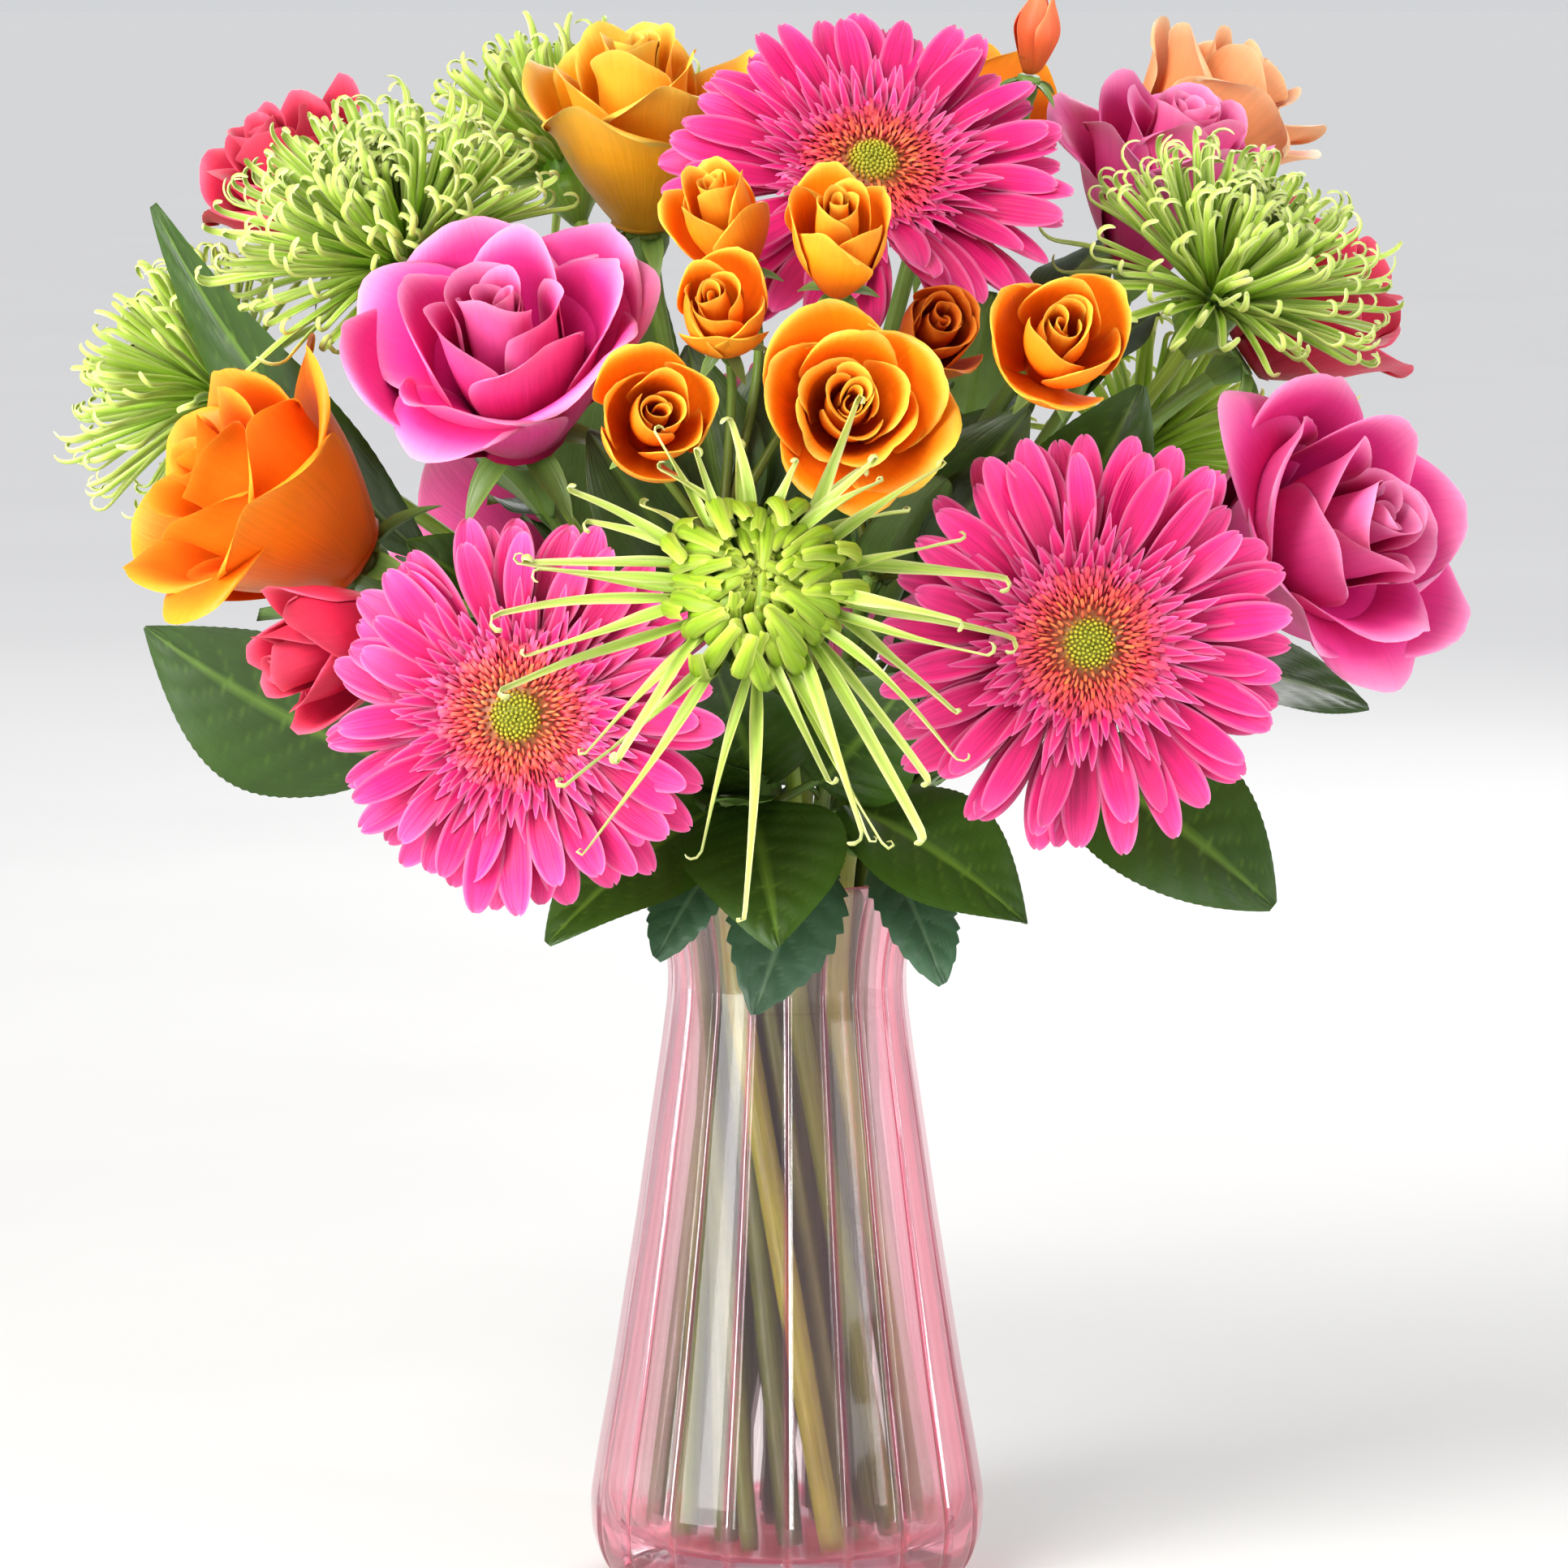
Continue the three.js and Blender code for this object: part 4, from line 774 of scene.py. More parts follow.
def makeDisc(name, g, rng):  # the ring of curly florets round a green eye
    head, look = headOf(g), gerberaLook
    piece = Piece(name + "_disc")
    base = [(6, -0.3), (17.2, -0.2), (17.6, 1.0), (15, 2.6), (11, 3.4), (6.8, 3.9), (4.4, 5.2), (2, 5.8)]
    putCup(piece, head, base, plain((0, "#a01038"), (0.66, "#b01c2c"), (0.8, "#8f8a1e"), (1, "#a9aa2a")), 32)
    u, v = flat(6, 4)
    for k in range(look["curls"]):
        share = (k + 0.5) / look["curls"]
        r = mix(look["eye"], look["discRadius"], share**0.62)
        turn = k * golden
        out = smooth(r, 6.5, 18.5)
        long = mix(2.2, 6.0, out) * rng.uniform(0.7, 1.2)
        lean = mix(-0.25, 0.8, out) + rng.uniform(-0.35, 0.35)
        z = np.interp(r, (6, 11, 15, 18.2), (3.9, 3.2, 2.3, 0.8))
        twist = turn + rng.uniform(-1.2, 1.2)
        half = mix(0.5, 0.72, out) * (1 - 0.3 * v**2)
        curl = lean + mix(0.9, 2.4, rng.random()) * v**1.5
        along = r + long * v * np.sin(curl)
        height = z + long * v * np.cos(curl * 0.8) + 0.4 * half * u * u
        cx, cy = along * np.cos(turn), along * np.sin(turn)
        grid = head.place(cx - half * u * np.sin(twist), cy + half * u * np.cos(twist), height)
        tip = ramp(np.array([out + rng.uniform(-0.14, 0.14)]), *curlTones)[0]
        root = colour("#b80c3c") * rng.uniform(0.7, 1.1)
        piece.sheet(grid, 0.5, lambda u, v, side: root + (tip - root) * smooth(v, 0.05, 0.85)[:, None], k)
    for k in range(look["buds"]):
        share = (k + 0.5) / look["buds"]
        r = (look["eye"] + 0.3) * math.sqrt(share)
        turn = k * golden
        z = np.interp(r, (0, 4.6, 6.6), (5.7, 5.0, 3.9))
        bud = Head(head.place(r * math.cos(turn), r * math.sin(turn), z), (0, 0), 0)
        bud.axes = head.axes
        size = look["budSize"] * rng.uniform(0.85, 1.1)
        tone = ramp(np.array([share]), *budTones)[0] * rng.uniform(0.85, 1.15)
        # painted shade: each bud is darker at its foot, where the packed buds shade each other
        putCup(piece, bud, [(size * 0.8, -0.4), (size, 0.3), (size * 0.8, 1.0), (size * 0.3, 1.35)],
               lambda a, v: tone * (0.6 + 0.4 * v)[:, None], 6)
    piece.build("disc", "gerbera_disc")


gerberaCup = {
    "profile": [(2.0, -13), (3.2, -11), (6.5, -8.8), (10, -6.4), (12, -5.0), (4, -4.9)],
    # start, height, length and how many
    "bracts": [(4, -10.4, 7.5, 13), (7, -8.6, 7.5, 15), (9.5, -6.8, 6, 17)],
}


def makeGerberaStem(name, rng):
    piece = Piece(name + "_stem")
    putStem(piece, name)
    head = headOf(gerberas[name])
    putCup(piece, head, gerberaCup["profile"], plain((0, "#7d9444"), (1, "#5f7f34")))
    u, v = flat(8, 5)
    for row, (start, low, long, count) in enumerate(gerberaCup["bracts"]):
        for k in range(count):
            turn = 2 * math.pi * (k + 0.5 * row + rng.uniform(-0.1, 0.1)) / count
            half = 1.5 * np.sin(np.pi * mix(0.3, 0.99, v)) ** 0.8 + 0.05
            height = low - 0.6 + 0.42 * long * v + 0.08 * half * u * u
            grid = aimed(head, turn, start + long * v, half * u, height)
            piece.sheet(grid, 0.5, plain((0, "#5c7a34"), (0.8, "#6f9442"), (1, "#7a5a44")), k)
    piece.build("stem", "stem_green")


# ---- spider chrysanthemum

def swung(a, b, angle):
    c, s = math.cos(angle), math.sin(angle)
    return a * c + b * s, b * c - a * s


def floretGrid(
        head, turn, polar, start, lift, reach, sweep, hook, hookAt, sway, roll, width, flatness, droop,
        bentBy=0.85, blunt=0.62):  # a frame is led along the floret: it rolls, sways and bends at every step
    rows = 20
    u, v = flat(rows, 5)
    s = mix(v[:, 0], np.sin(v[:, 0] * np.pi / 2), 0.7)  # closer rows towards the hooked tip
    bends = np.diff(sweep * smooth(s, 0, bentBy) + hook * np.clip((s - hookAt) / (1 - hookAt), 0, 1) ** 1.2)
    rolls = np.diff(roll * smooth(s, 0.1, hookAt))
    sways = np.diff(sway * (s**1.5 + 0.3 * np.sin(5 * s)))
    out, up = np.array([math.cos(turn), math.sin(turn), 0]), np.array([0, 0, 1.0])
    ahead = math.sin(polar) * out + math.cos(polar) * up
    back = math.cos(polar) * out - math.sin(polar) * up
    across = np.cross(ahead, back)
    spot = start * ahead + lift * up
    path, acrosses, backs = [spot], [across], [back]
    for i in range(rows - 1):
        across, back = swung(across, back, rolls[i])
        ahead, across = swung(ahead, across, sways[i])
        ahead, back = swung(ahead, back, bends[i])
        spot = spot + ahead * reach * (s[i + 1] - s[i])
        path.append(spot)
        acrosses.append(across)
        backs.append(back)
    path, across, back = np.array(path), np.array(acrosses), np.array(backs)
    arc = mix(2.0, flatness, smooth(s, 0.05, 0.6))[:, None]
    slim = mix(0.6, 1, smooth(s, 0, 0.35)) * mix(1, blunt, smooth(s, 0.6, 0.97))
    slim = slim * np.sqrt(1 - 0.8 * np.clip((s - 0.96) / 0.04, 0, 1) ** 2)
    half = (width * slim)[:, None] / arc**0.4
    local = (path[:, None] + across[:, None] * (half * np.sin(arc * u))[..., None]
             - back[:, None] * (half * (1 - np.cos(arc * u)))[..., None])
    grid = head.place(local[..., 0], local[..., 1], local[..., 2])
    grid[..., 2] -= droop * reach * s[:, None] ** 2
    return grid


floretTones = {  # from root to tip, and the paler edges
    "skirt": ("#7fa41e", "#a6c544", "#bcd05c", "#cfdb78", "#dde294", "#eef0ba"),
    "core": ("#447004", "#70980c", "#92b41a", "#b0c834", "#c4d44c", "#dee880"),
    "plain": ("#6f9c12", "#98c42a", "#bcdc4e", "#d6e878", "#e6ee9a", "#f4f6c0"),
}


def floretTone(tones, bright, inner):
    def tone(u, v, side):
        body = ramp(v, *zip((0, 0.2, 0.6, 0.9, 1), tones[:5]))
        light = ramp(v, (0, tones[3]), (1, tones[5]))
        share = (np.abs(u) ** 2.2 * 0.85)[:, None]  # paler towards its edges
        # inner is painted shade: the florets darken towards the middle of the head
        return mix(body, light, share) * (bright * mix(1.0, 0.5, inner))
    return tone


def skirtFloret(R, share, turn, rng):  # the long hooked florets round the front head
    low, high = max(0, -math.sin(turn)), max(0, math.sin(turn))
    return dict(
        polar=mix(1.95, 1.2, share) + 0.1 * rng.uniform(-1, 1), start=10,
        reach=R * mix(0.98, 0.8, share) * rng.uniform(0.8, 1.08) * (1 + 0.12 * low - 0.34 * high**2),
        sweep=rng.uniform(-0.5, 0.4), hook=-rng.uniform(2.2, 4.6), hookAt=rng.uniform(0.88, 0.93),
        sway=rng.uniform(-0.8, 0.8), roll=rng.choice([-1, 1]) * rng.uniform(0.5, 1.6),
        width=rng.uniform(1.5, 2.0), flatness=rng.uniform(0.5, 0.9), droop=rng.uniform(0.04, 0.2), blunt=0.8)


def coreFloret(R, share, turn, rng):  # the broad florets that close over its middle
    wob = rng.uniform(-1, 1)
    return dict(
        polar=mix(2.1, 1.0, share**0.8) + 0.1 * wob, start=mix(11, 3, share),
        reach=mix(39, 17, share) * rng.uniform(0.8, 1.08), sweep=-mix(2.7, 2.2, share) + 0.3 * wob,
        hook=-rng.uniform(-0.6, 1.2), hookAt=0.84, sway=rng.uniform(-0.35, 0.35),
        roll=rng.uniform(-0.4, 0.4), width=mix(2.9, 1.5, share), flatness=mix(1.15, 1.4, share),
        droop=mix(0.12, 0, share), bentBy=0.8, blunt=0.7)


def plainFloret(R, share, turn, rng):  # the even fan of the other heads
    wob = rng.uniform(-1, 1)
    return dict(
        polar=mix(1.5, 0.1, share**0.75) + 0.08 * wob, start=R * 0.16,
        reach=R * mix(0.95, 0.62, smooth(share, 0.3, 1.0)) * rng.uniform(0.84, 1.05),
        sweep=mix(0.2, -0.45, share) + 0.22 * wob, hook=-rng.uniform(1.2, 4.0), hookAt=0.8,
        sway=rng.uniform(-0.3, 0.3), roll=rng.uniform(-0.7, 0.7), width=rng.uniform(1.2, 1.5), flatness=1.0,
        droop=mix(0.08, 0, share))


mumLook = {
    "skirt": 40, "core": 130, "ball": 14, "lift": 8, "plainBall": 0.17, "plainLift": 0.1, "thick": 0.5,
}


def makeMum(name, m, rng):
    piece, head, look, R = Piece(name), headOf(m), mumLook, m["radius"]
    putStem(piece, name)
    # kind, shape, how many and how much painted shade darkens them towards the middle
    sorts = [("plain", plainFloret, m["florets"], 0.45)]
    lift, ball = R * look["plainLift"], R * look["plainBall"]
    if not m["florets"]:
        sorts = [("skirt", skirtFloret, look["skirt"], 0.0), ("core", coreFloret, look["core"], 1.0)]
        lift, ball = look["lift"], look["ball"]
    t = np.linspace(0.05, 0.97, 12) * math.pi
    ballShape = [(ball * math.sin(x), lift - ball * math.cos(x)) for x in t]
    neckShape = [(r, lift - ball * low) for r, low in ((2.2, 1.9), (4.6, 1.4), (7.5, 0.9), (7.0, 0.4))]
    putCup(piece, head, ballShape, plain((0, "#5c8e14")), 20)
    putCup(piece, head, neckShape, plain((0, "#7fa23a"), (1, "#6f9a2c")))
    for kind, sort, count, shade in sorts:
        for k in range(count):
            share = (k + 0.5) / count
            turn = k * golden + 0.12 * rng.uniform(-1, 1)
            grid = floretGrid(head, turn, lift=lift, **sort(R, share, turn, rng))
            grid = bentClear(name, grid, (1, -1), 42, 7)
            if grid is not None:
                inner = smooth(share, 0.5, 1.0) * shade
                tone = floretTone(floretTones[kind], rng.uniform(0.9, 1.1), inner)
                piece.sheet(grid, look["thick"], tone, rng.random() * 60)
    piece.build("mum", "mum_green")


# ---- rose

# the deep tone is painted shade at the roots of the petals, deep inside the bloom
rosePalettes = listed(("deep", "body", "rim", "inner"), {
    "pink": ("#b0004e", "#ee489c", "#ff9eca", "#e02086"),
    "orange": ("#e25000", "#fc7e04", "#ffa626", "#f46600"),
    "amber": ("#d8960e", "#fcac14", "#ffd75a", "#f6960a"),
    "spray": ("#ee5c00", "#ff960e", "#ffd04c", "#fc8004"),
    "rust": ("#b83c00", "#ee720e", "#fba038", "#d45404"),
    "peach": ("#e8803c", "#fba668", "#ffd2a0", "#f28c48"),
    "hot": ("#8a061e", "#d81c46", "#f4607c", "#b00c32"),
    "bud": ("#d05a1c", "#f0683c", "#f9a06c", "#e85a34"),
})
roseSlots = {"pink": "rose_pink", "peach": "rose_peach", "hot": "rose_hot_pink"}  # the others are orange

rosePlans = {  # for each petal: radius, height, half wrap, curl, where the curl starts, how far it closes
    "full": [
        (0.78, 0.80, 1.0, 1.7, 0.56, 0), (0.76, 0.82, 1.02, 1.4, 0.58, 0),
        (0.74, 0.84, 1.05, 1.6, 0.58, 0), (0.70, 0.86, 1.05, 1.2, 0.60, 0),
        (0.66, 0.88, 1.05, 1.4, 0.62, 0.02), (0.61, 0.90, 1.08, 1.2, 0.64, 0.03),
        (0.54, 0.93, 1.12, 1.1, 0.68, 0.06), (0.49, 0.94, 1.15, 1.0, 0.70, 0.09),
        (0.44, 0.96, 1.2, 1.0, 0.72, 0.11), (0.38, 0.97, 1.25, 0.8, 0.74, 0.13),
        (0.33, 0.98, 1.3, 0.8, 0.76, 0.15), (0.27, 0.99, 1.4, 0.7, 0.78, 0.2),
        (0.225, 1.0, 1.6, 0.6, 0.80, 0.22), (0.185, 1.0, 1.8, 0.5, 0.82, 0.25),
        (0.15, 0.99, 2.0, 0.5, 0.84, 0.28), (0.115, 0.98, 2.2, 0.4, 0.86, 0.3),
        (0.08, 0.96, 2.3, 0.4, 0.88, 0.3),
    ],
    "small": [
        (0.84, 0.80, 1.0, 1.0, 0.72, 0.04), (0.82, 0.86, 1.0, 0.8, 0.74, 0.1),
        (0.78, 0.88, 1.05, 0.9, 0.74, 0.12), (0.68, 0.93, 1.1, 0.7, 0.76, 0.14),
        (0.58, 0.96, 1.2, 0.7, 0.78, 0.16), (0.48, 1.0, 1.35, 0.6, 0.8, 0.18),
        (0.39, 1.0, 1.5, 0.5, 0.82, 0.2), (0.31, 1.0, 1.7, 0.5, 0.84, 0.22),
        (0.235, 0.99, 1.9, 0.4, 0.86, 0.24), (0.165, 0.98, 2.1, 0.4, 0.87, 0.25),
        (0.1, 0.96, 2.3, 0.3, 0.88, 0.25),
    ],
    "bud": [
        (0.9, 0.86, 1.15, 0.3, 0.9, 0.5), (0.86, 0.92, 1.25, 0.3, 0.9, 0.55),
        (0.78, 0.97, 1.4, 0.2, 0.9, 0.6), (0.62, 1.0, 1.8, 0.2, 0.9, 0.62),
        (0.4, 1.0, 2.2, 0.2, 0.9, 0.6),
    ],
}
roseLook = {
    "fullFrom": 25,  # heads with a greater radius than this take the full plan
    "shelf": {
        "radius": 0.46, "height": 0.92, "wrap": 0.86, "curl": (1.8, 2.2), "curlAt": 0.32, "point": 0.06,
    },
    "outer": 0.8, "heart": 0.6,  # thickness of the outer and the innermost petals
}


def rosePetalGrid(
        head, turn, radius, height, wrap, curl, curlAt, close, point, scale, even, rng, inward=0.0):
    u, v = flat(19, 17)
    v = mix(v, np.sin(v * np.pi / 2), 0.4)  # closer rows towards the rim
    drop = mix(0.24, 0.08, inward)
    rise = v * (1 - drop * np.abs(u) ** 2.4 * v) + point * v**8 * np.exp(-(u / 0.3) ** 2)
    bend = curl * mix(0.45 + 0.85 * np.abs(u) ** 1.4, 1.0, even) * (1 + 0.3 * rng.uniform(-1, 1) * u)
    bend = np.maximum(bend, 0.05)
    t = np.clip((rise - curlAt) / (1 - curlAt), 0, 1.1)
    lip = height * (1 - curlAt)
    bowl = np.sin(np.minimum(1, 0.12 + 0.95 * rise) * np.pi / 2)
    r = radius * (0.16 + 0.84 * bowl) * (1 - close * smooth(rise, 0.45, 1))
    r = r + lip * (1 - np.cos(bend * t)) / bend
    z = 0.6 + height * np.minimum(rise, curlAt) + lip * np.sin(bend * t) / bend
    wave = scale * smooth(rise, 0.5, 1)
    r = r * (1 + 0.07 * u) + 1.1 * wave * np.sin(3.2 * u + rng.uniform(0, 6.3))
    z = z + 1.2 * wave * np.sin(2.6 * u + rng.uniform(0, 6.3))
    corner = np.sqrt(1 - mix(0.66, 0.1, inward) * np.clip((v - 0.62) / 0.38, 0, 1) ** 2.4)
    broad = 0.64 + 0.36 * np.sin(np.minimum(1, 1.35 * rise + 0.1) * np.pi / 2)
    a = turn + u * wrap * broad * corner
    lean = rng.normal(0, 0.02, 2)
    return head.place(r * np.cos(a) + lean[0] * z, r * np.sin(a) + lean[1] * z, z)


def roseTone(palette, depth, bright):
    deep, body, rim, inner = map(colour, palette.values())
    body = mix(body, inner, 0.5 * depth)

    def tone(u, v, side):
        # painted shade: both faces darken to the deep tone at the petal's root
        low, high = mix(deep, body, 0.6), mix(body, rim, 0.35)
        back = ramp(v, (0, deep), (0.3, low), (0.55, body), (0.86, high), (1, rim))
        low, high = mix(inner, body, 0.7), mix(body, rim, 0.5)
        face = ramp(v, (0, deep), (0.45, inner), (0.8, low), (0.93, high), (1, rim))
        edge = (np.abs(u) ** 9 * smooth(v, 0.3, 0.8))[:, None]
        return mix(np.where(side[:, None] > 0, back, face), rim, 0.8 * edge) * bright
    return tone


def makeRose(name, r, rng, node):
    head, R, H = headOf(r), r["radius"], r["height"]
    kind = r.get("kind", "spray")
    palette, look = rosePalettes[kind], roseLook
    shapes = rosePlans["bud" if kind == "bud" else "full" if R > look["fullFrom"] else "small"]
    piece = Piece(node)
    scale = R / 40
    phase = rng.uniform(0, 6.3)
    shelf = look["shelf"]
    for turn in r.get("shelves", ()):  # outer petals that hang back from the rest
        grid = rosePetalGrid(
            head, turn, R * shelf["radius"], H * shelf["height"], shelf["wrap"], rng.uniform(*shelf["curl"]),
            shelf["curlAt"], 0, shelf["point"], scale, 0.7, rng)
        grid = bentClear(name, grid, (1,), 24, 4, 0.88)
        if grid is not None:
            piece.sheet(grid, look["outer"], roseTone(palette, 0, 1.0), rng.random() * 40)
    for k, (radius, height, wrap, curl, curlAt, close) in enumerate(shapes):
        f = k / (len(shapes) - 1)
        curl = curl * r.get("open", 1.0) * rng.uniform(0.8, 1.2)
        turn = phase + k * golden + rng.uniform(-0.2, 0.2)
        grid = rosePetalGrid(
            head, turn, R * radius, H * height * rng.uniform(0.97, 1.02), wrap, curl, curlAt, close,
            mix(0.07, 0.02, f), scale, 0, rng, inward=smooth(f, 0.3, 0.8))
        if f < 0.6:
            grid = bentClear(name, grid, (1,), 24, 4, 0.76)
        if grid is not None:
            tone = roseTone(palette, f, rng.uniform(0.92, 1.04))
            piece.sheet(grid, mix(look["outer"], look["heart"], f), tone, rng.random() * 40)
    foot = max(3.0, 0.15 * R)
    closed = [  # a cup that closes the foot of the petals
        (0.5 * foot, 0.1), (0.24 * R, 0.3), (0.3 * R, 1.8), (1.1 * foot, 0.2 * H), (0.8 * foot, 0.5 * H),
        (0.3 * foot, 0.62 * H),
    ]
    # painted shade: the hidden cup takes the deep tone, darkened further
    putCup(piece, head, closed, lambda a, v: np.tile(colour(palette["deep"]) * 0.8, (a.size, 1)), 16)
    piece.build("rose", roseSlots.get(kind, "rose_orange"))


def makeRoseStem(name, r, rng):
    piece = Piece(name + "_stem")
    putStem(piece, name)
    putCalyx(piece, r, rng)
    putFoliage(piece, name, rng)
    piece.build("stem", "stem_green")


def makeSpray(name, s, rng):
    piece = Piece(name)
    putStem(piece, name)
    fork = paths[name][-1]
    start = fork - unit(fork - paths[name][-2])
    for h in s["heads"].values():
        head = headOf(h)
        end = head.place(0, 0, -11)
        far = np.linalg.norm(end - start)
        path = curve(start, start + (0, 0, 0.3 * far), end - head.axes[2] * 0.35 * far, end, 20)
        piece.round(ringed(path, stemRadius["branch"], 8), stemTone("spray"), len(piece.parts))
        putCalyx(piece, h, rng)
    for k, row in enumerate(s["leaves"]):
        leaf = leafOf(*row)
        grid = bentClear(name, leafGrid(leaf, rng, 33, 13), (1, -1), 48, 6, 0.62)
        if grid is None:
            print(name, "leaf", k, "found no room")
            continue
        base, tip = leaf["base"], leaf["tip"]
        stalk = curve(start, mix(start, base, 0.4), mix(start, base, 0.7), base + (tip - base) * 0.06, 8)
        putStalk(piece, stalk, 1.0, 0.7, 6, k)
        piece.sheet(grid, 0.6, leafTone(False, rng.uniform(0.7, 1.1)), rng.random() * 30)
    putFoliage(piece, name, rng)
    piece.build("stem", "stem_green")


# ---- leaves

leafLook = {  # a toothed leaf and a smooth one
    True: {"fold": 0.1, "arch": 0.08, "teeth": 9, "bite": 0.13, "veins": 6,
           "top": "#3f5f44", "vein": "#6c8a6a", "under": "#7c9880"},
    False: {"fold": 0.16, "arch": 0.14, "teeth": 30, "bite": 0.03, "veins": 8,
            "top": "#304e0c", "vein": "#5e8026", "under": "#688a40"},
    "relief": 0.5, "slant": 0.24, "wave": 1.6,
}


def veinLine(u, v, veins):  # whole numbers where a side vein runs
    return v * veins - np.abs(u) * veins * leafLook["slant"]


def leafGrid(leaf, rng, rows=61, cols=19):
    look = leafLook[leaf["toothed"]]
    u, v = flat(rows, cols)
    base, along = leaf["base"], leaf["tip"] - leaf["base"]
    long = np.linalg.norm(along)
    side = unit(np.cross(along, leaf["up"]))
    out = unit(np.cross(side, along))
    half = leaf["width"] / 2 * np.sin(np.pi * mix(0.03, 0.985, v) ** 0.8) ** 0.85
    half = half * (1 - look["bite"] * ((1 - v * look["teeth"]) % 1))
    quilt = leafLook["relief"] * np.abs(np.sin(np.pi * veinLine(u, v, look["veins"]))) ** 0.7
    quilt = quilt * (1 - u**6) * smooth(np.abs(u), 0.0, 0.2)
    wave = leafLook["wave"] * np.abs(u) ** 2 * np.sin(v * 7 + rng.uniform(0, 6)) * np.sign(u)
    height = look["fold"] * half * np.abs(u) + look["arch"] * long * 2 * v * (1 - v) + quilt
    height = height + wave * smooth(v, 0, 0.3)
    return base + v[..., None] * along + side * (half * u)[..., None] + out * height[..., None]


def leafTone(toothed, bright):
    look = leafLook[toothed]
    top, vein, under = (colour(look[key]) for key in ("top", "vein", "under"))

    def tone(u, v, side):
        offset = np.abs((veinLine(u, v, look["veins"]) + 0.5) % 1 - 0.5)
        line = np.maximum(hump(offset, 0.05) * (1 - np.abs(u)) * 0.6, hump(u, 0.05) * 0.9)[:, None]
        face = mix(top * (0.85 + 0.3 * np.abs(u))[:, None], vein, line)
        back = mix(under, vein, line * 0.7)
        return np.where(side[:, None] > 0, face, back) * bright
    return tone


def makeSprig(name, s, rng):
    piece = Piece(name)
    putStem(piece, name)
    tie = np.array(s["fork"], float)
    for k, row in enumerate(s["leaves"]):
        leaf = leafOf(*row)
        base, tip = leaf["base"], leaf["tip"]
        into = base + unit(tip - base) * 3
        putStalk(piece, curve(tie, mix(tie, into, 0.35), mix(tie, into, 0.7), into, 8), 1.3, 0.9, 8, k)
        grid = bentClear(name, leafGrid(leaf, rng), (1, -1), 48, 4)
        if grid is not None:
            piece.sheet(grid, 0.7, leafTone(leaf["toothed"], rng.uniform(0.85, 1.25)), k)
        else:
            print(name, "leaf", k, "found no room")
    putFoliage(piece, name, rng)
    piece.build("leaf", "leaf_green")


# ---- the vase and its water

vaseSizes = {
    "outside": [  # height and radius
        (0, 42), (2, 44.9), (5, 47.4), (9, 49.2), (13, 50.0), (21.5, 50.3), (34, 48.3), (54, 44.7),
        (75, 41.4), (95, 38.2), (116, 35.2), (136, 32.2), (149, 30.5), (155, 30.2), (161, 30.7),
        (170, 32.5), (177, 34.4), (181, 36),
    ],
    # rightmost is the angle where the painted shade on panels and grooves is deepest
    "wall": 2.6, "flutes": 20, "fluteDepth": 1.0, "lobe": 0.45, "groove": 1.1, "water": 148,
    "sides": 400, "waterSides": 96, "panelTint": 0.3, "rightmost": -0.5,
    "tints": ((0, "#ffffff"), (0.4, "#f7b4c8"), (0.7, "#e0557e"), (1, "#c01440")),
}


def vaseRadius(z):
    low, middle, high = (np.interp(z + shift, *zip(*vaseSizes["outside"])) for shift in (-2.0, 0.0, 2.0))
    return (low + middle * 2 + high) / 4


def insideRadius(z):
    return vaseRadius(z) - vaseSizes["fluteDepth"] - vaseSizes["wall"]


def makeVase():
    s = vaseSizes
    a = np.linspace(0, 2 * math.pi, s["sides"], endpoint=False)
    turns = s["flutes"] * a / (2 * math.pi)
    across = 2 * (turns % 1) - 1  # -1 to 1 over one flute, a nearly flat panel between grooves
    lobes = s["lobe"] * (1 - across**2) + s["groove"] * smooth(np.abs(across), 0.72, 1.0)
    up = np.concatenate([np.linspace(0.8, 24, 16), np.linspace(28, 176, 44), np.linspace(178, 180.2, 3)])
    top, low = vaseRadius(181.0), insideRadius(24.0)
    rows = [  # radius, height and how deep the flutes are there
        (2.0, 1.2, 0), (30, 1.0, 0), (38, 0.3, 0), (41, 0.0, 0),
        *((vaseRadius(z), z, float(smooth(z, 1, 8) * (1 - 0.6 * smooth(z, 172, 181)))) for z in up),
        (top - 0.5, 181, 0.2), (top - 1.6, 181.0, 0.1), (top - 2.6, 180.2, 0),
        *((insideRadius(z), z, 0) for z in np.linspace(178, 24, 40)),
        (low - 0.6, 19, 0), (low - 2.4, 15, 0), (low - 5.5, 12.6, 0), (low - 10, 12.0, 0), (14, 12.8, 0),
        (2.0, 13.2, 0),
    ]
    r, z, flute = np.array(rows).T
    wide = r[:, None] - s["fluteDepth"] * flute[:, None] * lobes
    grid = np.stack([wide * np.cos(a), wide * np.sin(a), np.repeat(z[:, None], len(a), 1)], -1)
    # painted light and shade: each panel's own random tint is weighted by side, so the panels are paler at
    # the left as a painted reflection
    right = np.cos(a - s["rightmost"])  # the panels are palest at the left, the grooves deepest at the right
    panels = draws("panels").uniform(0, s["panelTint"], s["flutes"])[turns.astype(int) % s["flutes"]]
    panels = panels * (0.55 + 0.45 * right)
    # painted refraction: the grooves are drawn as deep pink lines, deepest at the right
    groove = smooth(np.abs(across), 0.74, 0.98) * (0.66 + 0.34 * right)
    depth = (flute[:, None] * np.maximum(groove, panels) + 0.5 * (z < 13)[:, None]).clip(0, 1).ravel()
    piece = Piece("vase", "vaseGlass")
    piece.round(grid, lambda a, v: ramp(depth, *s["tints"]))
    piece.build("glass", "vase_glass")


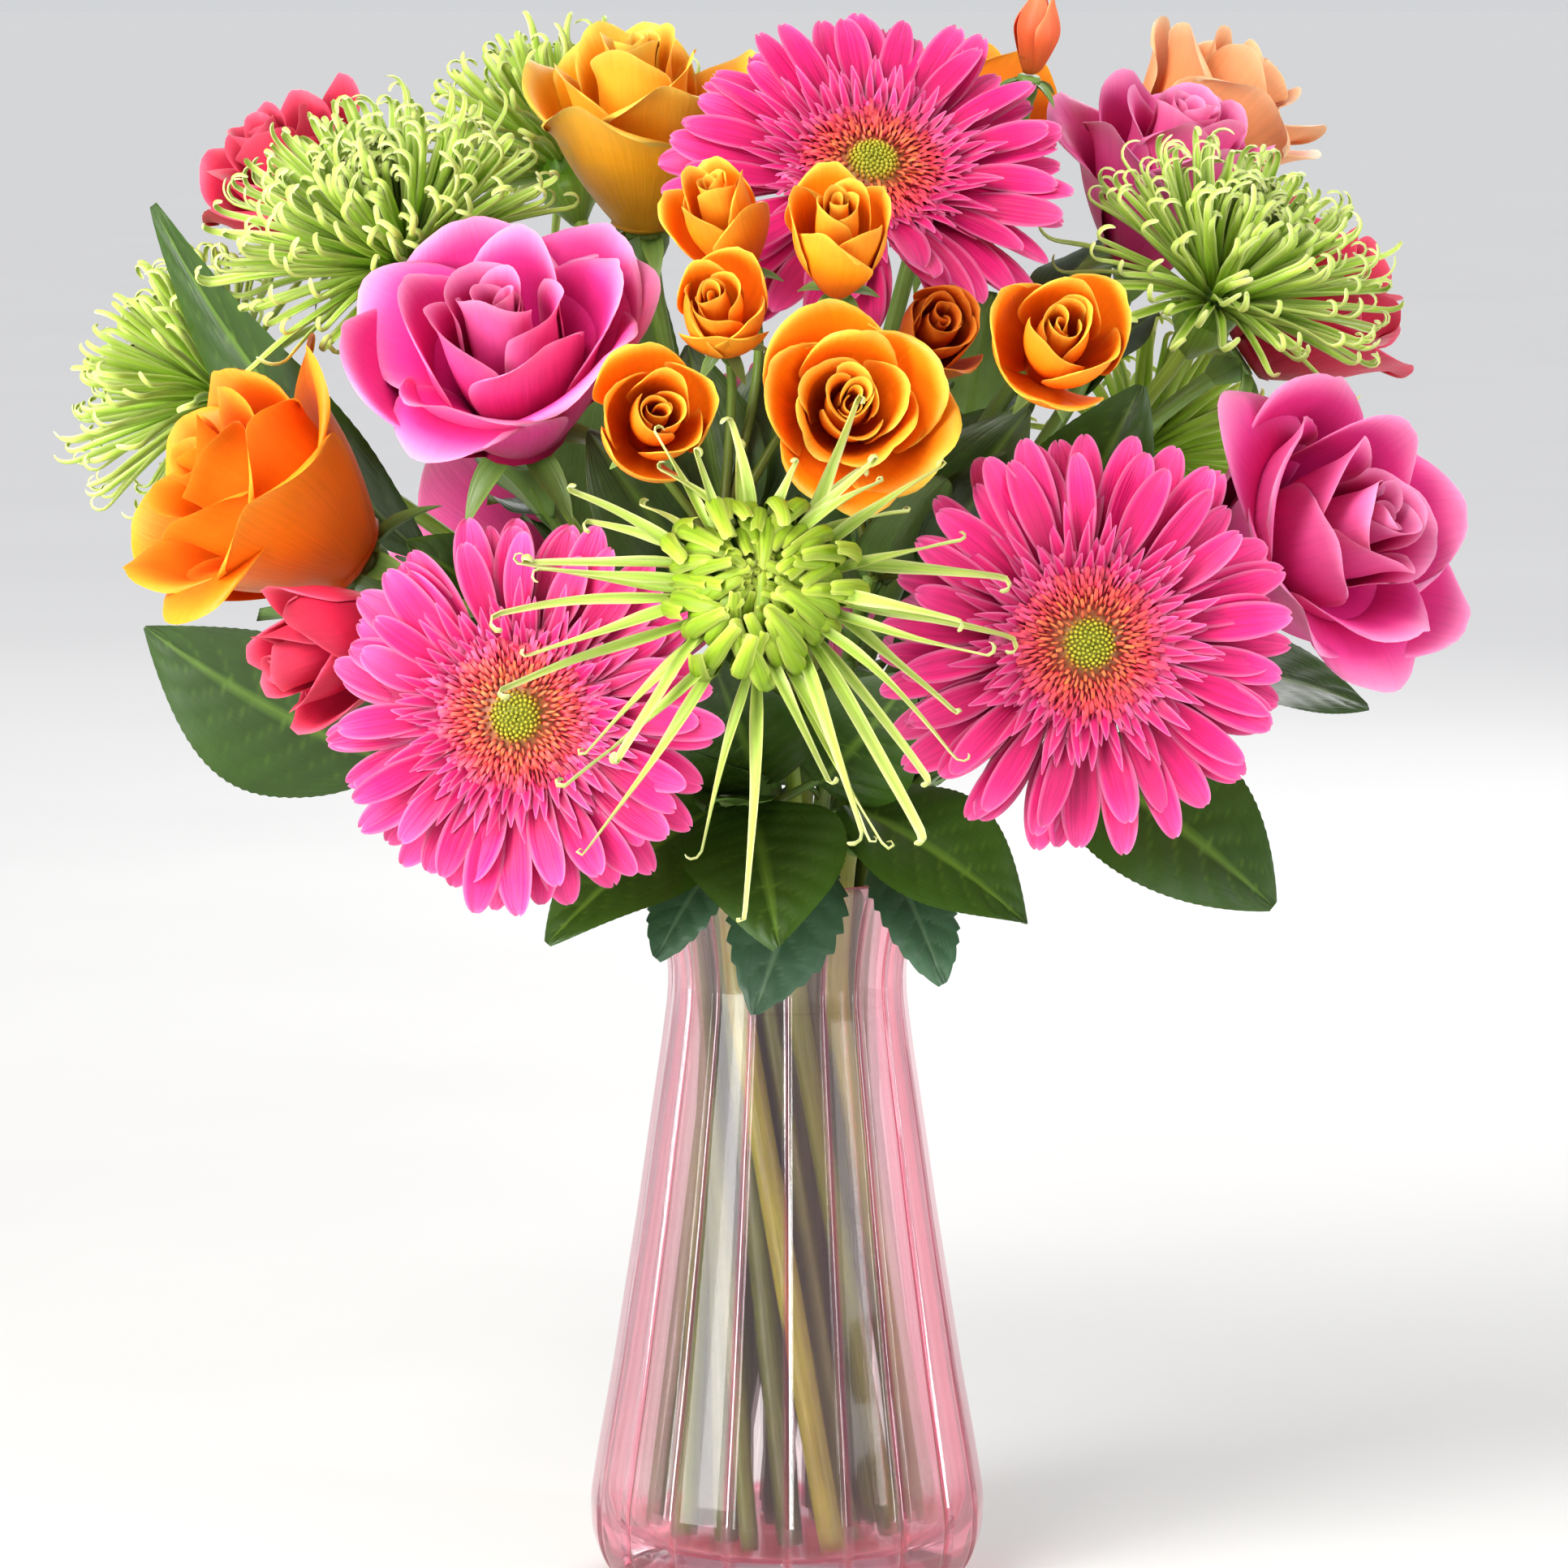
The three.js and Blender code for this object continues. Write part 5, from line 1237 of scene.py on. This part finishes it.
def makeWater():
    level = vaseSizes["water"]
    low, top = insideRadius(24.0), insideRadius(level)
    rows = [
        (2, 13.5), (14, 13.1), (low - 10.3, 12.4), (low - 5.8, 13), (low - 2.7, 15.4), (low - 0.9, 19.3),
        *((insideRadius(z) - 0.25, z) for z in np.linspace(24, level + 0.7, 34)),
        (top - 1.4, level + 0.15), (top - 3, level), (top * 0.5, level), (2, level),
    ]
    piece = Piece("water", "vaseWater")
    piece.round(np.stack(lathed(rows, vaseSizes["waterSides"]), -1), plain((0, "#ffffff")))
    piece.build("water", "water")


# ---- everything in its order: what lies in front is made first, and the rest bends clear of it

def draws(name):
    return np.random.default_rng(sum(ord(c) * (k + 3) for k, c in enumerate(name)))


makeVase()
for name, g in gerberas.items():
    makeDisc(name, g, draws(name + "disc"))
    makeGerbera(name, g, draws(name))
print("vase and gerberas made")
for name, m in mums.items():
    makeMum(name, m, draws(name))
print("chrysanthemums made")
for name, r in roses.items():
    makeRose(name, r, draws(name), name + "_petals")
for s in sprays.values():
    for name, h in s["heads"].items():
        makeRose(name, h, draws(name), name)
print("roses made")
for name in gerberas:
    makeGerberaStem(name, draws(name + "stem"))
for name, s in sprigs.items():
    makeSprig(name, s, draws(name))
for name, r in roses.items():
    makeRoseStem(name, r, draws(name + "stem"))
for name, s in sprays.items():
    makeSpray(name, s, draws(name))
makeWater()
print("stems, leaves and water made")


# ---- floor and light

def makeFloor():
    mesh = bpy.data.meshes.new("floor")
    far = floorLook["size"]
    mesh.from_pydata([(-far, -far, 0), (far, -far, 0), (far, far, 0), (-far, far, 0)], [], [(0, 1, 2, 3)])
    mesh.materials.append(floorFinish())
    floor = bpy.data.objects.new("floor", mesh)
    floor.location.z = -0.0003
    bpy.context.scene.collection.objects.link(floor)


lamps = listed(("at", "wide", "high", "power", "tone"), {
    "key": ((-0.9, -1.4, 1.7), 0.9, 0.9, 38, (1, 0.97, 0.93)),
    "fill": ((1.4, -1.2, 0.7), 1.0, 1.0, 7, (0.95, 0.97, 1)),
    "back": ((0.5, 1.4, 1.3), 1.0, 1.0, 18, (1, 1, 1)),
    "leftStrip": ((-0.8, -0.8, 0.35), 0.5, 1.0, 18, (1, 1, 1)),
    "rightStrip": ((0.95, -0.5, 0.3), 0.12, 1.0, 4, (1, 1, 1)),
})
lampAim = 0, 0, 0.25
backdrop = (0.0, 0.66), (0.25, 0.4)  # height and brightness: paler at the horizon


def makeLights():
    for name, l in lamps.items():
        lamp = bpy.data.lights.new(name, "AREA")
        lamp.shape, lamp.size, lamp.size_y = "RECTANGLE", l["wide"], l["high"]
        lamp.energy, lamp.color = l["power"], l["tone"]
        obj = bpy.data.objects.new(name, lamp)
        obj.location = l["at"]
        obj.rotation_euler = (Vector(lampAim) - obj.location).to_track_quat("-Z", "Y").to_euler()
        bpy.context.scene.collection.objects.link(obj)
    world = bpy.data.worlds.new("studio")
    world.use_nodes = True
    nodes, links = world.node_tree.nodes, world.node_tree.links
    place = nodes.new("ShaderNodeTexCoord")
    parts = nodes.new("ShaderNodeSeparateXYZ")
    fade = nodes.new("ShaderNodeValToRGB")
    for point, (at, level) in zip(fade.color_ramp.elements, backdrop):
        point.position, point.color = at, (level * 0.98, level, level * 1.03, 1)
    links.new(place.outputs["Generated"], parts.inputs[0])
    links.new(parts.outputs["Z"], fade.inputs[0])
    links.new(fade.outputs[0], nodes["Background"].inputs[0])
    bpy.context.scene.world = world
    bpy.context.scene.view_settings.view_transform = "Standard"


makeFloor()
makeLights()
print("floor and lights set")
